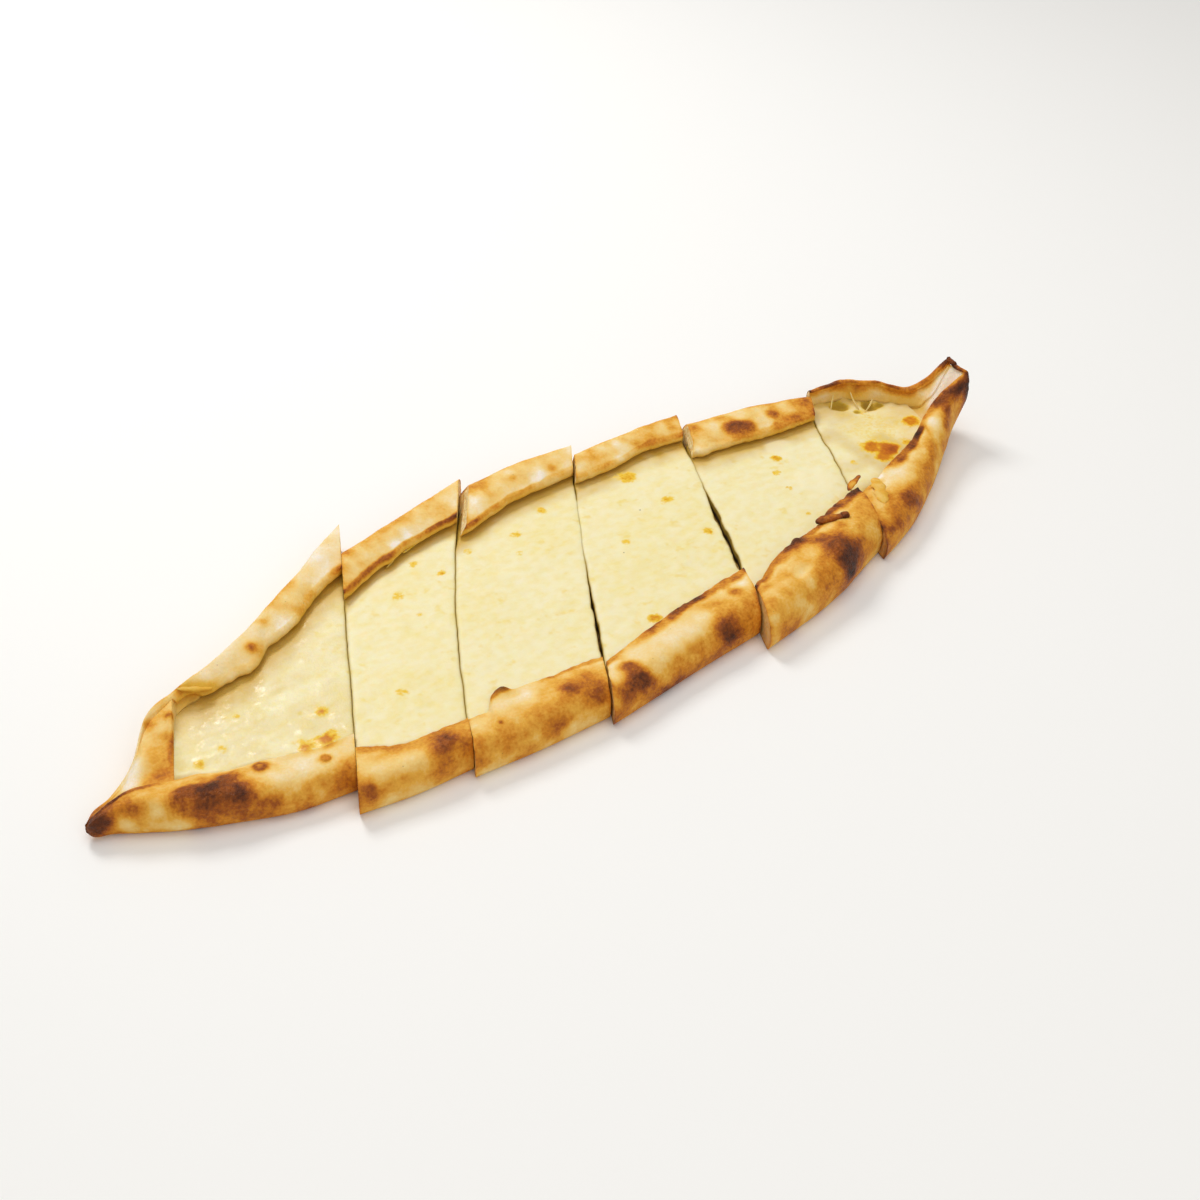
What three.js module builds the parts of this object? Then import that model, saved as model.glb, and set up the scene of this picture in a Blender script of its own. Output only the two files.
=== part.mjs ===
// A cheese pide: a long boat of baked dough with its sides folded in over a layer of melted cheese.
// It is cut across into six slices that still lie in place, each slid a little along its cut.
// Millimetres; X runs along the boat from the flat pinched tip to the raised prow, Y across it from
// the near side to the far side, and Z up from the underside.

import * as THREE from 'three';

// Heights, clearances and shares that every slice keeps to
const BASE_THICKNESS = 5;
const CHEESE_TOP = 10.8;
const CHEESE_DOME = 0.6;
const CLEARANCE = 0.4;
const LIP_THICKNESS = 3;
const FOOT_INSET = 2.2;
const FOOT_SHARE = 0.25;
const BULGE_SHARE = 0.4;
const SEAM_STEP = 2;
const SEAM_SHARE = 0.25;
const CHEESE_END_GAP = 0.006;
const FLOOR_MARGIN = 1.5;
const FLOOR_EDGE_SHARE = 0.0625;
const SLOPE_LIMIT = 3;
const SLANT_BELOW = 3;
const SLANT_ABOVE = 6;
const SLANT_REACH = 10;

// Where the middle of the whole boat lies in the plan that the sizes below are measured in
const MIDDLE_X = -6.6;
const MIDDLE_Y = 2.145;

// How finely a section is divided: lip to crown, crown to bulge, bulge to foot, and foot to foot
const LIP_STEPS = 3;
const ROLL_STEPS = 3;
const TOE_STEPS = 2;
const BASE_STEPS = 4;
const CHEESE_STEPS = 7;

// Every knife cut and both tips, as x = middle + lean * y + bend * y^2, with the cut's width along X.
// slant is how far the face on the cut's right leans back at the top of the far rim, past the Y in from.
const EDGES = {
  leftTip: { middle: -239.95, lean: 0.5, bend: 0, width: 0, slant: 0, from: 0 },
  cut1: { middle: -123.6, lean: 0.563, bend: 0, width: 0.8, slant: 0, from: 0 },
  cut2: { middle: -70.5, lean: 0.64, bend: 0.00097, width: 0.8, slant: 6, from: 42 },
  cut3: { middle: -0.5, lean: 0.64, bend: 0.0003, width: 1, slant: 1, from: 42 },
  cut4: { middle: 75.2, lean: 0.5, bend: 0, width: 2, slant: 2.5, from: 32 },
  cut5: { middle: 152.3, lean: 0.53, bend: 0.0012, width: 0.8, slant: 0, from: 0 },
  rightTip: { middle: 232, lean: 0, bend: 0, width: 0, slant: 0, from: 0 },
};

// Values spread evenly along a slice, from its left end to its right end
function even(...values) {
  return values.map((value, index) => [index / (values.length - 1), value]);
}

// Sizes that most slices share. A rim is one folded side: width from its outer edge to its lip,
// crown and lip heights, where the crown sits as a share of the width, and the share of the width
// that the cheese reaches in under the fold.
const PLAIN_SLICE = { stations: 11, lift: even(0, 0), floor: even(BASE_THICKNESS, BASE_THICKNESS) };
const NEAR_RIM = { crest: even(0.45, 0.45), tuck: even(0.5, 0.5) };
const FAR_RIM = { crest: even(0.36, 0.36), tuck: even(0.5, 0.5) };

// Height of the last slice's far wall, which stands up thin and rises to the prow
const PROW_EDGE = [
  [0, 18.8], [0.19, 19.2], [0.37, 19.8], [0.49, 20.2], [0.62, 20.2], [0.71, 19.2], [0.776, 18.8], [0.85, 22],
  [0.9, 26.5], [0.95, 32.3], [1, 38.5],
];

// The six slices as they lie. near and far are the outer edges' Y, as [share along the slice, value].
const SLICES = [
  {
    ...PLAIN_SLICE,
    name: 'slice_1',
    ends: [EDGES.leftTip, EDGES.cut1],
    stations: 18,
    sealedStations: 12,
    trough: [0.333, 1],
    near: [
      [0, -10.5], [0.02, -12.7], [0.09, -15.4], [0.17, -19.8], [0.32, -28], [0.55, -38.3], [0.78, -46.7], [1, -50.4],
    ],
    far: [
      [0, -8.6], [0.02, -6], [0.09, -2], [0.17, 8], [0.22, 21], [0.32, 26.7], [0.55, 42], [0.78, 64.8], [1, 88.3],
    ],
    lift: [[0, 4], [0.02, 2.3], [0.09, 0.8], [0.17, 0], [1, 0]],
    nearRim: {
      ...NEAR_RIM,
      width: [
        [0, 0.8], [0.02, 2.6], [0.09, 6], [0.17, 9.4], [0.32, 14.4], [0.55, 16.2], [0.68, 18], [0.78, 18.2], [0.9, 17.2],
        [1, 18.2],
      ],
      crown: [
        [0, 6], [0.02, 8.6], [0.09, 12], [0.17, 14.5], [0.32, 15.2], [0.45, 15], [0.6, 13.9], [0.8, 13.3], [1, 13],
      ],
      lip: [[0, 6], [0.02, 8.6], [0.09, 12], [0.17, 14.3], [0.32, 13.5], [0.55, 12.3], [1, 12.2]],
    },
    farRim: {
      ...FAR_RIM,
      width: [
        [0, 0.5], [0.02, 1.6], [0.09, 4.3], [0.17, 7], [0.25, 5.5], [0.34, 3.6], [0.39, 5.3], [0.43, 10.6], [0.465, 13.2],
        [0.547, 17], [0.59, 20.5], [0.638, 23], [0.682, 20.6], [0.72, 23], [0.8, 26.8], [0.84, 25], [0.91, 25.6], [1, 30.2],
      ],
      crown: [[0, 6], [0.02, 7.5], [0.09, 8.5], [0.17, 11.5], [0.22, 17.5], [0.34, 18], [1, 19]],
      lip: [
        [0, 6], [0.02, 7.5], [0.09, 9], [0.17, 12], [0.22, 15], [0.34, 17.2], [0.39, 16.5], [0.43, 15.5], [0.46, 15.2],
        [0.55, 15], [1, 15.8],
      ],
      tuck: [[0, 0.2], [0.25, -0.2], [0.34, -1.1], [0.39, -0.5], [0.43, 0.2], [0.47, 0.5], [1, 0.5]],
    },
  },
  {
    ...PLAIN_SLICE,
    name: 'slice_2',
    ends: [EDGES.cut1, EDGES.cut2],
    near: even(-61.9, -66.2, -67.6),
    far: even(67.8, 75.8, 85.3),
    nearRim: {
      ...NEAR_RIM,
      width: even(22.9, 16.5, 15.6),
      crown: even(15, 15.5),
      lip: even(12.5, 13.5),
    },
    farRim: {
      ...FAR_RIM,
      width: even(25.8, 21.8, 21.4, 22.8, 25.8),
      crown: even(19, 19),
      lip: even(15.8, 15.8),
    },
  },
  {
    ...PLAIN_SLICE,
    name: 'slice_3',
    ends: [EDGES.cut2, EDGES.cut3],
    stations: 19,
    near: even(-72, -75.2, -76.5),
    far: even(79.5, 78.5, 76),
    nearRim: {
      ...NEAR_RIM,
      width: [
        [0, 18.5], [0.12, 18], [0.15, 18.8], [0.185, 24.6], [0.25, 26], [0.33, 24.6], [0.5, 24.2], [0.667, 23.4],
        [0.833, 22.6], [1, 21.5],
      ],
      crown: even(15.5, 16, 16),
      lip: [[0, 13.5], [0.14, 13.2], [0.185, 14.4], [0.25, 15.3], [0.33, 14], [0.5, 13.5], [1, 14]],
    },
    farRim: {
      ...FAR_RIM,
      width: even(30, 23, 20.2, 18.5),
      crown: even(19, 19.5, 19),
      lip: even(15.5, 15.8, 15.8),
    },
  },
  {
    ...PLAIN_SLICE,
    name: 'slice_4',
    ends: [EDGES.cut3, EDGES.cut4],
    near: even(-81, -77, -73.8),
    far: even(69.8, 69.6, 66.8),
    nearRim: {
      ...NEAR_RIM,
      width: even(21.8, 25.5, 27.5),
      crown: even(16, 16.5, 17),
      lip: even(14.5, 15, 15),
    },
    farRim: { ...FAR_RIM, width: even(17.3, 18.6, 15.3, 17), crown: even(18, 18), lip: even(15.2, 15.2, 15.6) },
  },
  {
    ...PLAIN_SLICE,
    name: 'slice_5',
    ends: [EDGES.cut4, EDGES.cut5],
    near: even(-84, -77.6, -63.6),
    far: even(58.8, 52.2, 40.5),
    nearRim: {
      ...NEAR_RIM,
      width: even(24.2, 31, 31, 29.7),
      crown: even(17.5, 20, 20, 19),
      lip: even(15.5, 17.5, 17.5, 16.5),
    },
    farRim: {
      ...FAR_RIM,
      width: even(23, 23.4, 21.4, 15.6),
      crown: even(18, 18, 17.5),
      lip: even(15.2, 15.2),
    },
  },
  {
    ...PLAIN_SLICE,
    name: 'slice_6',
    ends: [EDGES.cut5, EDGES.rightTip],
    stations: 24,
    cheese: [0, 0.77],
    near: [[0, -69], [0.24, -59], [0.51, -42.3], [0.71, -29.3], [0.89, -19], [1, -16.2]],
    far: [
      [0, 42.4], [0.19, 41], [0.37, 39], [0.49, 34.4], [0.62, 28.8], [0.71, 22.3], [0.776, 16.8], [0.85, 11.8],
      [0.9, 7.9], [0.95, 4.3], [1, 0.6],
    ],
    lift: [[0, 0], [0.51, 0], [0.71, 3], [0.89, 7], [1, 19]],
    floor: [
      [0, BASE_THICKNESS], [0.51, 5.3], [0.7, 8.2], [0.77, 9.3], [0.823, 11.8], [0.856, 15.6], [0.907, 21], [0.95, 27],
      [1, 35],
    ],
    nearRim: {
      width: [[0, 30.6], [0.24, 28], [0.51, 19.4], [0.71, 16], [0.89, 7.5], [1, 3]],
      crown: [[0, 16.5], [0.24, 17], [0.51, 19], [0.71, 23.5], [0.89, 30], [1, 36.5]],
      lip: [[0, 15], [0.24, 17], [0.51, 19], [0.71, 23.5], [0.89, 30], [1, 36.5]],
      crest: even(0.6, 0.85),
      tuck: even(0.3, 0),
    },
    farRim: {
      width: [[0, 4.2], [0.776, 6], [0.9, 5], [1, 3]],
      crown: PROW_EDGE,
      lip: PROW_EDGE,
      crest: even(0.8, 0.8),
      tuck: [[0, -0.4], [0.42, -0.5], [0.64, -0.6], [0.75, -0.5], [0.83, -1.1], [0.9, -1], [1, -0.3]],
    },
  },
];

// Blisters that stand proud of the folded rims: place in plan, radius and height
const BLISTERS = [
  { x: -201, y: -24, radius: 12, height: 1.8 },
  { x: -117, y: -61, radius: 9, height: 1.4 },
  { x: -80, y: -49, radius: 5, height: 0.5 },
  { x: -59, y: -64, radius: 6, height: 1 },
  { x: 22, y: -69, radius: 9, height: 1.2 },
  { x: 98, y: -66, radius: 12, height: 1.8 },
  { x: 110, y: -46, radius: 6, height: 1.5 },
  { x: 125, y: 36, radius: 8, height: 1.2 },
  { x: 158, y: -50, radius: 7, height: 1.2 },
];

const CRUST = { color: '#dcab62', roughness: 0.72, metalness: 0 };
const CHEESE = { color: '#f1e3a6', roughness: 0.42, metalness: 0 };

const mix = THREE.MathUtils.lerp;

// Smooth curve through [share, value] keys that never overshoots them: a cubic with slopes taken
// from the neighbouring keys, flat where the values turn
function follow(keys, share) {
  const last = keys.length - 1;
  const chord = (i) => (keys[i + 1][1] - keys[i][1]) / (keys[i + 1][0] - keys[i][0]);
  const slope = (i) => {
    if (i === 0) return chord(0);
    if (i === last) return chord(last - 1);
    const before = chord(i - 1);
    const after = chord(i);
    if (before * after <= 0) return 0;
    const mean = (before + after) / 2;
    const steepest = SLOPE_LIMIT * Math.min(Math.abs(before), Math.abs(after));
    return Math.sign(mean) * Math.min(Math.abs(mean), steepest);
  };
  let i = 0;
  while (i < last - 1 && share >= keys[i + 1][0]) i += 1;
  const span = keys[i + 1][0] - keys[i][0];
  const u = (share - keys[i][0]) / span;
  const v = 1 - u;
  const start = (1 + 2 * u) * v * v * keys[i][1] + u * v * v * span * slope(i);
  const end = (1 + 2 * v) * u * u * keys[i + 1][1] - v * u * u * span * slope(i + 1);
  return start + end;
}

// A rim's sizes at one station
function rimSizes(rim, share) {
  return {
    width: follow(rim.width, share),
    crown: follow(rim.crown, share),
    lip: follow(rim.lip, share),
    crest: follow(rim.crest, share),
    tuck: follow(rim.tuck, share),
  };
}

// All of a slice's sizes at one station
function stationSizes(slice, share) {
  return {
    share,
    ends: slice.ends,
    near: follow(slice.near, share),
    far: follow(slice.far, share),
    lift: follow(slice.lift, share),
    floor: follow(slice.floor, share),
    nearRim: rimSizes(slice.nearRim, share),
    farRim: rimSizes(slice.farRim, share),
  };
}

// The X of a cut or tip at a given Y and height, on its right side (+1) or its left side (-1)
function edgeX(edge, y, z, side) {
  const line = edge.middle + edge.lean * y + edge.bend * y * y + (side * edge.width) / 2;
  if (side < 0) return line;
  const along = THREE.MathUtils.smoothstep(y, edge.from, edge.from + SLANT_REACH);
  const up = THREE.MathUtils.smoothstep(z, CHEESE_TOP - SLANT_BELOW, CHEESE_TOP + SLANT_ABOVE);
  return line + edge.slant * along * up;
}

// A point of the section in space: its X runs from the slice's left end to its right end
function place(sizes, y, z) {
  const left = edgeX(sizes.ends[0], y, z, 1);
  const right = edgeX(sizes.ends[1], y, z, -1);
  return new THREE.Vector3(mix(left, right, sizes.share) - MIDDLE_X, y - MIDDLE_Y, z);
}

// How far in from the outer edge a rim's foot stands
function footInset(rim) {
  return Math.min(FOOT_INSET, FOOT_SHARE * rim.width);
}

// Outer skin of a rim from its lip over the crown and round the bulge to its foot,
// as [distance in from the outer edge, height]
function outerRim(rim, lift) {
  const crest = rim.crest * rim.width;
  const bulge = mix(lift, rim.crown, BULGE_SHARE);
  const foot = footInset(rim);
  const points = [];
  for (let i = 0; i < LIP_STEPS; i += 1) {
    const u = i / LIP_STEPS;
    points.push([mix(rim.width, crest, u), mix(rim.lip, rim.crown, Math.sin((u * Math.PI) / 2))]);
  }
  for (let i = 0; i < ROLL_STEPS; i += 1) {
    const turn = ((i / ROLL_STEPS) * Math.PI) / 2;
    points.push([crest * (1 - Math.sin(turn)), mix(bulge, rim.crown, Math.cos(turn))]);
  }
  for (let i = 0; i <= TOE_STEPS; i += 1) {
    const turn = ((i / TOE_STEPS) * Math.PI) / 2;
    points.push([foot * (1 - Math.cos(turn)), mix(bulge, lift, Math.sin(turn))]);
  }
  return points;
}

// How far in from the outer edge the dough's inner wall stands
function wallInset(rim) {
  return (1 - rim.tuck) * rim.width;
}

// The height where the fold's underside meets the inner wall
function rootHeight(sizes) {
  return Math.max(CHEESE_TOP + CLEARANCE, sizes.floor + FLOOR_MARGIN);
}

// Inner skin of a rim, point for point with its outer skin: the fold's underside from the lip to
// the inner wall, the wall down to the floor, and the first of the floor
function innerRim(rim, sizes, floorWidth) {
  const inset = wallInset(rim);
  const root = rootHeight(sizes);
  const lip = Math.max(rim.lip - LIP_THICKNESS, root);
  const points = [];
  for (let i = 0; i < LIP_STEPS; i += 1) {
    const u = i / LIP_STEPS;
    points.push([mix(rim.width, inset, u), mix(lip, root, u)]);
  }
  for (let i = 0; i <= ROLL_STEPS; i += 1) points.push([inset, mix(root, sizes.floor, i / ROLL_STEPS)]);
  const floorStep = FLOOR_EDGE_SHARE * floorWidth;
  for (let i = 1; i <= TOE_STEPS; i += 1) points.push([inset + i * floorStep, sizes.floor]);
  return points;
}

// Lifts a point of a rim's outer skin away from the rim's core where a blister stands
function blistered(sizes, y, z, coreY, coreZ) {
  const point = place(sizes, y, z);
  let rise = 0;
  for (const blister of BLISTERS) {
    const reach = Math.hypot(point.x + MIDDLE_X - blister.x, y - blister.y) / blister.radius;
    rise += blister.height * Math.exp(-reach * reach);
  }
  const out = Math.hypot(y - coreY, z - coreZ);
  const share = z > sizes.lift ? rise / out : 0;
  return place(sizes, y + (y - coreY) * share, z + (z - coreZ) * share);
}

// Outer skin of a whole section, from the near lip round underneath to the far lip
function outerSkin(sizes) {
  const skin = (rim, edge, inward) => {
    const coreY = edge + (inward * rim.width) / 2;
    const coreZ = mix(sizes.lift, rim.crown, BULGE_SHARE);
    return outerRim(rim, sizes.lift).map(([d, z]) => blistered(sizes, edge + inward * d, z, coreY, coreZ));
  };
  const near = skin(sizes.nearRim, sizes.near, 1);
  const far = skin(sizes.farRim, sizes.far, -1).reverse();
  const base = [];
  for (let i = 1; i < BASE_STEPS; i += 1) {
    const nearFoot = sizes.near + footInset(sizes.nearRim);
    const farFoot = sizes.far - footInset(sizes.farRim);
    base.push(place(sizes, mix(nearFoot, farFoot, i / BASE_STEPS), sizes.lift));
  }
  return [...near, ...base, ...far];
}

// Inner skin of a section that holds the trough, point for point with the outer skin
function troughSkin(sizes) {
  const nearWall = sizes.near + wallInset(sizes.nearRim);
  const farWall = sizes.far - wallInset(sizes.farRim);
  const floorWidth = farWall - nearWall;
  const near = innerRim(sizes.nearRim, sizes, floorWidth).map(([d, z]) => place(sizes, sizes.near + d, z));
  const far = innerRim(sizes.farRim, sizes, floorWidth).map(([d, z]) => place(sizes, sizes.far - d, z));
  const edge = TOE_STEPS * FLOOR_EDGE_SHARE;
  const base = [];
  for (let i = 1; i < BASE_STEPS; i += 1) {
    const share = mix(edge, 1 - edge, i / BASE_STEPS);
    base.push(place(sizes, mix(nearWall, farWall, share), sizes.floor));
  }
  return [...near, ...base, ...far.reverse()];
}

// Top skin of a section past the trough's end, where the dough is folded shut: the end flap comes
// out from under the near rim's seam and runs up to the far rim
function flapSkin(sizes, count) {
  const start = sizes.near + sizes.nearRim.width;
  const end = sizes.far - sizes.farRim.width;
  const step = Math.min(SEAM_STEP, SEAM_SHARE * (sizes.nearRim.lip - sizes.lift));
  const skin = [];
  for (let i = 0; i < count; i += 1) {
    const share = (i + 0.5) / count;
    const height = mix(sizes.nearRim.lip - step, sizes.farRim.lip, THREE.MathUtils.smoothstep(share, 0, 1));
    skin.push(place(sizes, mix(start, end, share), height));
  }
  return skin;
}

// Closed solid between matching sections. Each section is a pair of skins, point for point alike;
// the two end sections are closed by the strip between their skins.
function solidBetween(sections) {
  const half = sections[0].outer.length;
  const round = half * 2;
  const positions = [];
  for (const { outer, inner } of sections) {
    for (const point of [...outer, ...[...inner].reverse()]) positions.push(point.x, point.y, point.z);
  }
  const indices = [];
  const quad = (a, b, c, d) => indices.push(a, b, c, a, c, d);
  for (let i = 0; i + 1 < sections.length; i += 1) {
    for (let j = 0; j < round; j += 1) {
      const next = (j + 1) % round;
      quad(i * round + j, i * round + next, (i + 1) * round + next, (i + 1) * round + j);
    }
  }
  const last = (sections.length - 1) * round;
  for (let j = 0; j + 1 < half; j += 1) {
    const facing = round - 1 - j;
    quad(j, facing, facing - 1, j + 1);
    quad(last + j, last + j + 1, last + facing - 1, last + facing);
  }
  const geometry = new THREE.BufferGeometry();
  geometry.setAttribute('position', new THREE.Float32BufferAttribute(positions, 3));
  geometry.setIndex(indices);
  geometry.computeVertexNormals();
  return geometry;
}

// Evenly spread shares from start to end, both included
function spread(start, end, count) {
  return Array.from({ length: count }, (_, i) => mix(start, end, i / (count - 1)));
}

// A slice's dough: base, outer walls and folded rims in one piece
function crustGeometry(slice) {
  const [open, close] = slice.trough ?? [0, 1];
  const sections = [];
  if (open > 0) {
    for (const share of spread(0, open - CHEESE_END_GAP, slice.sealedStations)) {
      const outer = outerSkin(stationSizes(slice, share));
      sections.push({ outer, inner: flapSkin(stationSizes(slice, share), outer.length) });
    }
  }
  for (const share of spread(open, close, slice.stations)) {
    const sizes = stationSizes(slice, share);
    sections.push({ outer: outerSkin(sizes), inner: troughSkin(sizes) });
  }
  return solidBetween(sections);
}

// A slice's cheese: it fills the trough and reaches in under both folds
function cheeseGeometry(slice) {
  const open = slice.trough ? slice.trough[0] + CHEESE_END_GAP : 0;
  const close = slice.cheese ? slice.cheese[1] : 1;
  const sections = spread(open, close, slice.stations).map((share) => {
    const sizes = stationSizes(slice, share);
    const nearSide = sizes.near + wallInset(sizes.nearRim) + CLEARANCE;
    const farSide = sizes.far - wallInset(sizes.farRim) - CLEARANCE;
    const outer = [];
    const inner = [];
    for (let i = 0; i <= CHEESE_STEPS; i += 1) {
      const across = i / CHEESE_STEPS;
      const y = mix(nearSide, farSide, across);
      const dome = CHEESE_DOME * Math.sin(Math.PI * across) ** 2;
      outer.push(place(sizes, y, sizes.floor + CLEARANCE));
      inner.push(place(sizes, y, CHEESE_TOP + dome));
    }
    return { outer, inner };
  });
  return solidBetween(sections);
}

function piece(name, geometry, finish) {
  const mesh = new THREE.Mesh(geometry, new THREE.MeshStandardMaterial(finish));
  mesh.name = name;
  return mesh;
}

const pide = new THREE.Group();
pide.name = 'cheese_pide';
for (const slice of SLICES) {
  pide.add(piece(`${slice.name}_crust`, crustGeometry(slice), CRUST));
  pide.add(piece(`${slice.name}_cheese`, cheeseGeometry(slice), CHEESE));
}

export default pide;
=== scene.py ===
"""Looks of a cheese pide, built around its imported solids.

Six slices of a long boat of baked dough lie side by side. Each has a crust that is folded in along both
sides and a layer of melted cheese between the folds. Shapes are worked out in millimetres, as functions of
one share along a slice and one round its section, and are put into meshes in metres.
"""
from __future__ import annotations

import logging
import math
from dataclasses import dataclass
from enum import Enum
from typing import Any, Union

import bpy
import numpy as np
from mathutils import Matrix, Vector


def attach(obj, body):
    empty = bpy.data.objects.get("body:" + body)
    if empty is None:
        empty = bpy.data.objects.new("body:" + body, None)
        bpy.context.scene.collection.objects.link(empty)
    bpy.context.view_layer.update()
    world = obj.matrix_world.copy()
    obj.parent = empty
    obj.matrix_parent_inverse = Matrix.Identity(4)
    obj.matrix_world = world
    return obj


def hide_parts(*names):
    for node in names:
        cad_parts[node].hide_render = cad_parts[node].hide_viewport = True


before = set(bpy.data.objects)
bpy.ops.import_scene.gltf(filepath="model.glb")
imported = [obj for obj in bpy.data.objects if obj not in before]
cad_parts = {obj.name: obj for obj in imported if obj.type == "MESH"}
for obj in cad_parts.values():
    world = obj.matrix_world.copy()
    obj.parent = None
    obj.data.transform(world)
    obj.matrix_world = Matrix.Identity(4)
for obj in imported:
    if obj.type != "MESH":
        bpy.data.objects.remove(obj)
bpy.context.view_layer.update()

log = logging.getLogger("cheese_pide")

Span = tuple[float, float]
Keys = tuple[tuple[float, float], ...]
Point = tuple[float, float, float]
Colour = tuple[float, float, float, float]
Array = np.ndarray

# Units, the body that every piece rides on, and the boat's middle and reach in the plan that sizes are
# measured in
MM = 0.001
BODY = "root"
MIDDLE = np.array([-6.6, 2.145, 0.0])
PLAN_REACH = 90.0
TINY = 1e-9

# Heights, clearances and shares that every slice keeps to, in millimetres
BASE_THICKNESS = 5.0
CHEESE_TOP = 10.8
CHEESE_DOME = 0.6
CLEARANCE = 0.4
LIP_THICKNESS = 4.0
FOOT_INSET = 2.2
FOOT_SHARE = 0.25
BULGE_SHARE = 0.4
FLOOR_MARGIN = 1.5
FLOOR_EDGE = 0.125
SLOPE_LIMIT = 3.0

# Heights between which the face on a cut's right leans back
SLANT_FROM = CHEESE_TOP - 3
SLANT_TO = CHEESE_TOP + 6

# The flap folded shut over the left end: its step at the seam, how brown it and its rolled edge are, and how
# high the edge rolls. Places before the trough's end are shares of the slice's length.
SEAM_STEP = 2.0
SEAM_SHARE = 0.25
FLAP_BAKE = 0.28
FLAP_ROLL = 0.9
FLAP_ROLL_PALE = 0.06
FLAP_ROLL_BACK = 0.022
FLAP_ROLL_WIDTH = 0.012
FLAP_EDGE = 0.014
CHEESE_UNDER_FLAP = 0.011

# A fold narrower than this is torn less, and each side reads its tears and its band from a plane of its own
FULL_TEAR_WIDTH = 12.0
TEAR_PLANE = 17.0
BAND_PLANE = 9.0

# Girth of a rim's outer skin, 0 at its lip and 1 at its foot: where the crown and the widest bulge come
CROWN_GIRTH = 0.42
BULGE_GIRTH = 0.82
QUARTER = math.pi / 2

# Browning: girths between which the top's turns into the side's, the shares of the lip's band over which it
# fades, and how brown scorched dough is
SIDE_FROM = CROWN_GIRTH * 0.75
SIDE_TO = BULGE_GIRTH * 0.85
BAND_FADE = (0.45, 1.25)
SCORCHED = (0.5, 0.8)

# The middle of a material's noise
NOISE_MEAN = 0.5

# Distance between neighbouring points along a slice, and how many points each stretch of a section has
CRUST_SPACING = 0.65
CHEESE_SPACING = 0.9
LIP_COLUMNS = 26
ROLL_COLUMNS = 26
TOE_COLUMNS = 10
BASE_COLUMNS = 26
DEPTH_ROWS = 8
LIP_END_ROWS = 4
WELD = 1e-4

# Extra sections at the trough's end wall: from and to, as shares past the trough's start, and how many; and
# how far another section keeps from them
END_WALL = (-0.022, 0.006, 16)
END_WALL_GAP = 0.002


def mix(start: Any, end: Any, share: Any) -> Any:
    """The value a share of the way from start to end."""
    return start * (1 - share) + end * share


def smooth(value: Array, low: float, high: float) -> Array:
    """Smooth step of a value: 0 at low, 1 at high, level at both."""
    share = np.clip((value - low) / (high - low), 0, 1)
    return share * share * (3 - 2 * share)


def srgb(red: int, green: int, blue: int) -> Colour:
    """A screen colour of 0 to 255 as linear light."""
    light = [((part / 255 + 0.055) / 1.055) ** 2.4 for part in (red, green, blue)]
    return (light[0], light[1], light[2], 1.0)


@dataclass(frozen=True)
class Track:
    """A size that changes along a slice, as keys of (share along the slice, value).

    Between two keys it is a cubic. Its slope at a key is the mean of the two chords there, flat where the
    values turn and never over three times the flatter chord, so that it doesn't overshoot.
    """

    keys: Keys

    def at(self, share: Array) -> Array:
        """The size at each share along the slice.

        Args:
            share: shares from 0 to 1.

        Returns:
            One value for each share.
        """
        places, values = np.array(self.keys, float).T
        chords = np.diff(values) / np.diff(places)
        before, after = chords[:-1], chords[1:]
        mean = (before + after) / 2
        steepest = SLOPE_LIMIT * np.minimum(abs(before), abs(after))
        turning = np.sign(mean) * np.minimum(abs(mean), steepest)
        slopes = np.concatenate([chords[:1], np.where(before * after > 0, turning, 0), chords[-1:]])
        index = np.clip(np.searchsorted(places, share, side="right") - 1, 0, len(chords) - 1)
        span = places[index + 1] - places[index]
        gone = (share - places[index]) / span
        left = 1 - gone
        start = (1 + 2 * gone) * left**2 * values[index] + gone * left**2 * span * slopes[index]
        end = (1 + 2 * left) * gone**2 * values[index + 1] - left * gone**2 * span * slopes[index + 1]
        return start + end


def even(*values: float) -> Track:
    """A track whose values are spread evenly from a slice's left end to its right end."""
    return Track(tuple((index / (len(values) - 1), value) for index, value in enumerate(values)))


def keyed(*keys: tuple[float, float]) -> Track:
    """A track through keys of (share along the slice, value)."""
    return Track(keys)


def level(value: float) -> Track:
    """A track by Y that keeps one value right across the boat."""
    return Track(((-PLAN_REACH, value), (PLAN_REACH, value)))


NO_SLANT = level(0.0)


@dataclass(frozen=True)
class Grain:
    """Smooth noise: hashed values on a cubic lattice, blended between the eight corners of a cell.

    size is the width of its lumps in millimetres, and strength what it is multiplied by.
    """

    size: float
    seed: int
    strength: float = 1.0

    def at(self, points: Array) -> Array:
        """Noise at points, mostly within 0.6 of its strength.

        Each point blends the values at its cell's corners, with weights 6t^5 - 15t^4 + 10t^3 along each axis.

        Args:
            points: places in millimetres, with X, Y and Z along the last axis.

        Returns:
            One value for each point, at most the strength either way.
        """
        scaled = points / self.size
        cell = np.floor(scaled).astype(np.int64)
        share = scaled - cell
        weight = share**3 * (share * (share * 6 - 15) + 10)
        total = np.zeros(points.shape[:-1])
        for corner in np.ndindex(2, 2, 2):
            nearness = np.prod(np.where(np.array(corner) == 1, weight, 1 - weight), axis=-1)
            total += nearness * self._corner(cell + np.array(corner))
        return self.strength * total

    def _corner(self, cell: Array) -> Array:
        """The hashed value, -1 to 1, of each lattice corner."""
        mixed = cell[..., 0] * 73856093 ^ cell[..., 1] * 19349663 ^ cell[..., 2] * 83492791
        mixed = (mixed ^ self.seed * 2654435761) & 0x7FFFFFFF
        mixed = ((mixed ^ (mixed >> 15)) * 2246822519) & 0x7FFFFFFF
        mixed = ((mixed ^ (mixed >> 13)) * 3266489917) & 0x7FFFFFFF
        return ((mixed ^ (mixed >> 16)) & 0xFFFF) / 32767.5 - 1


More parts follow.
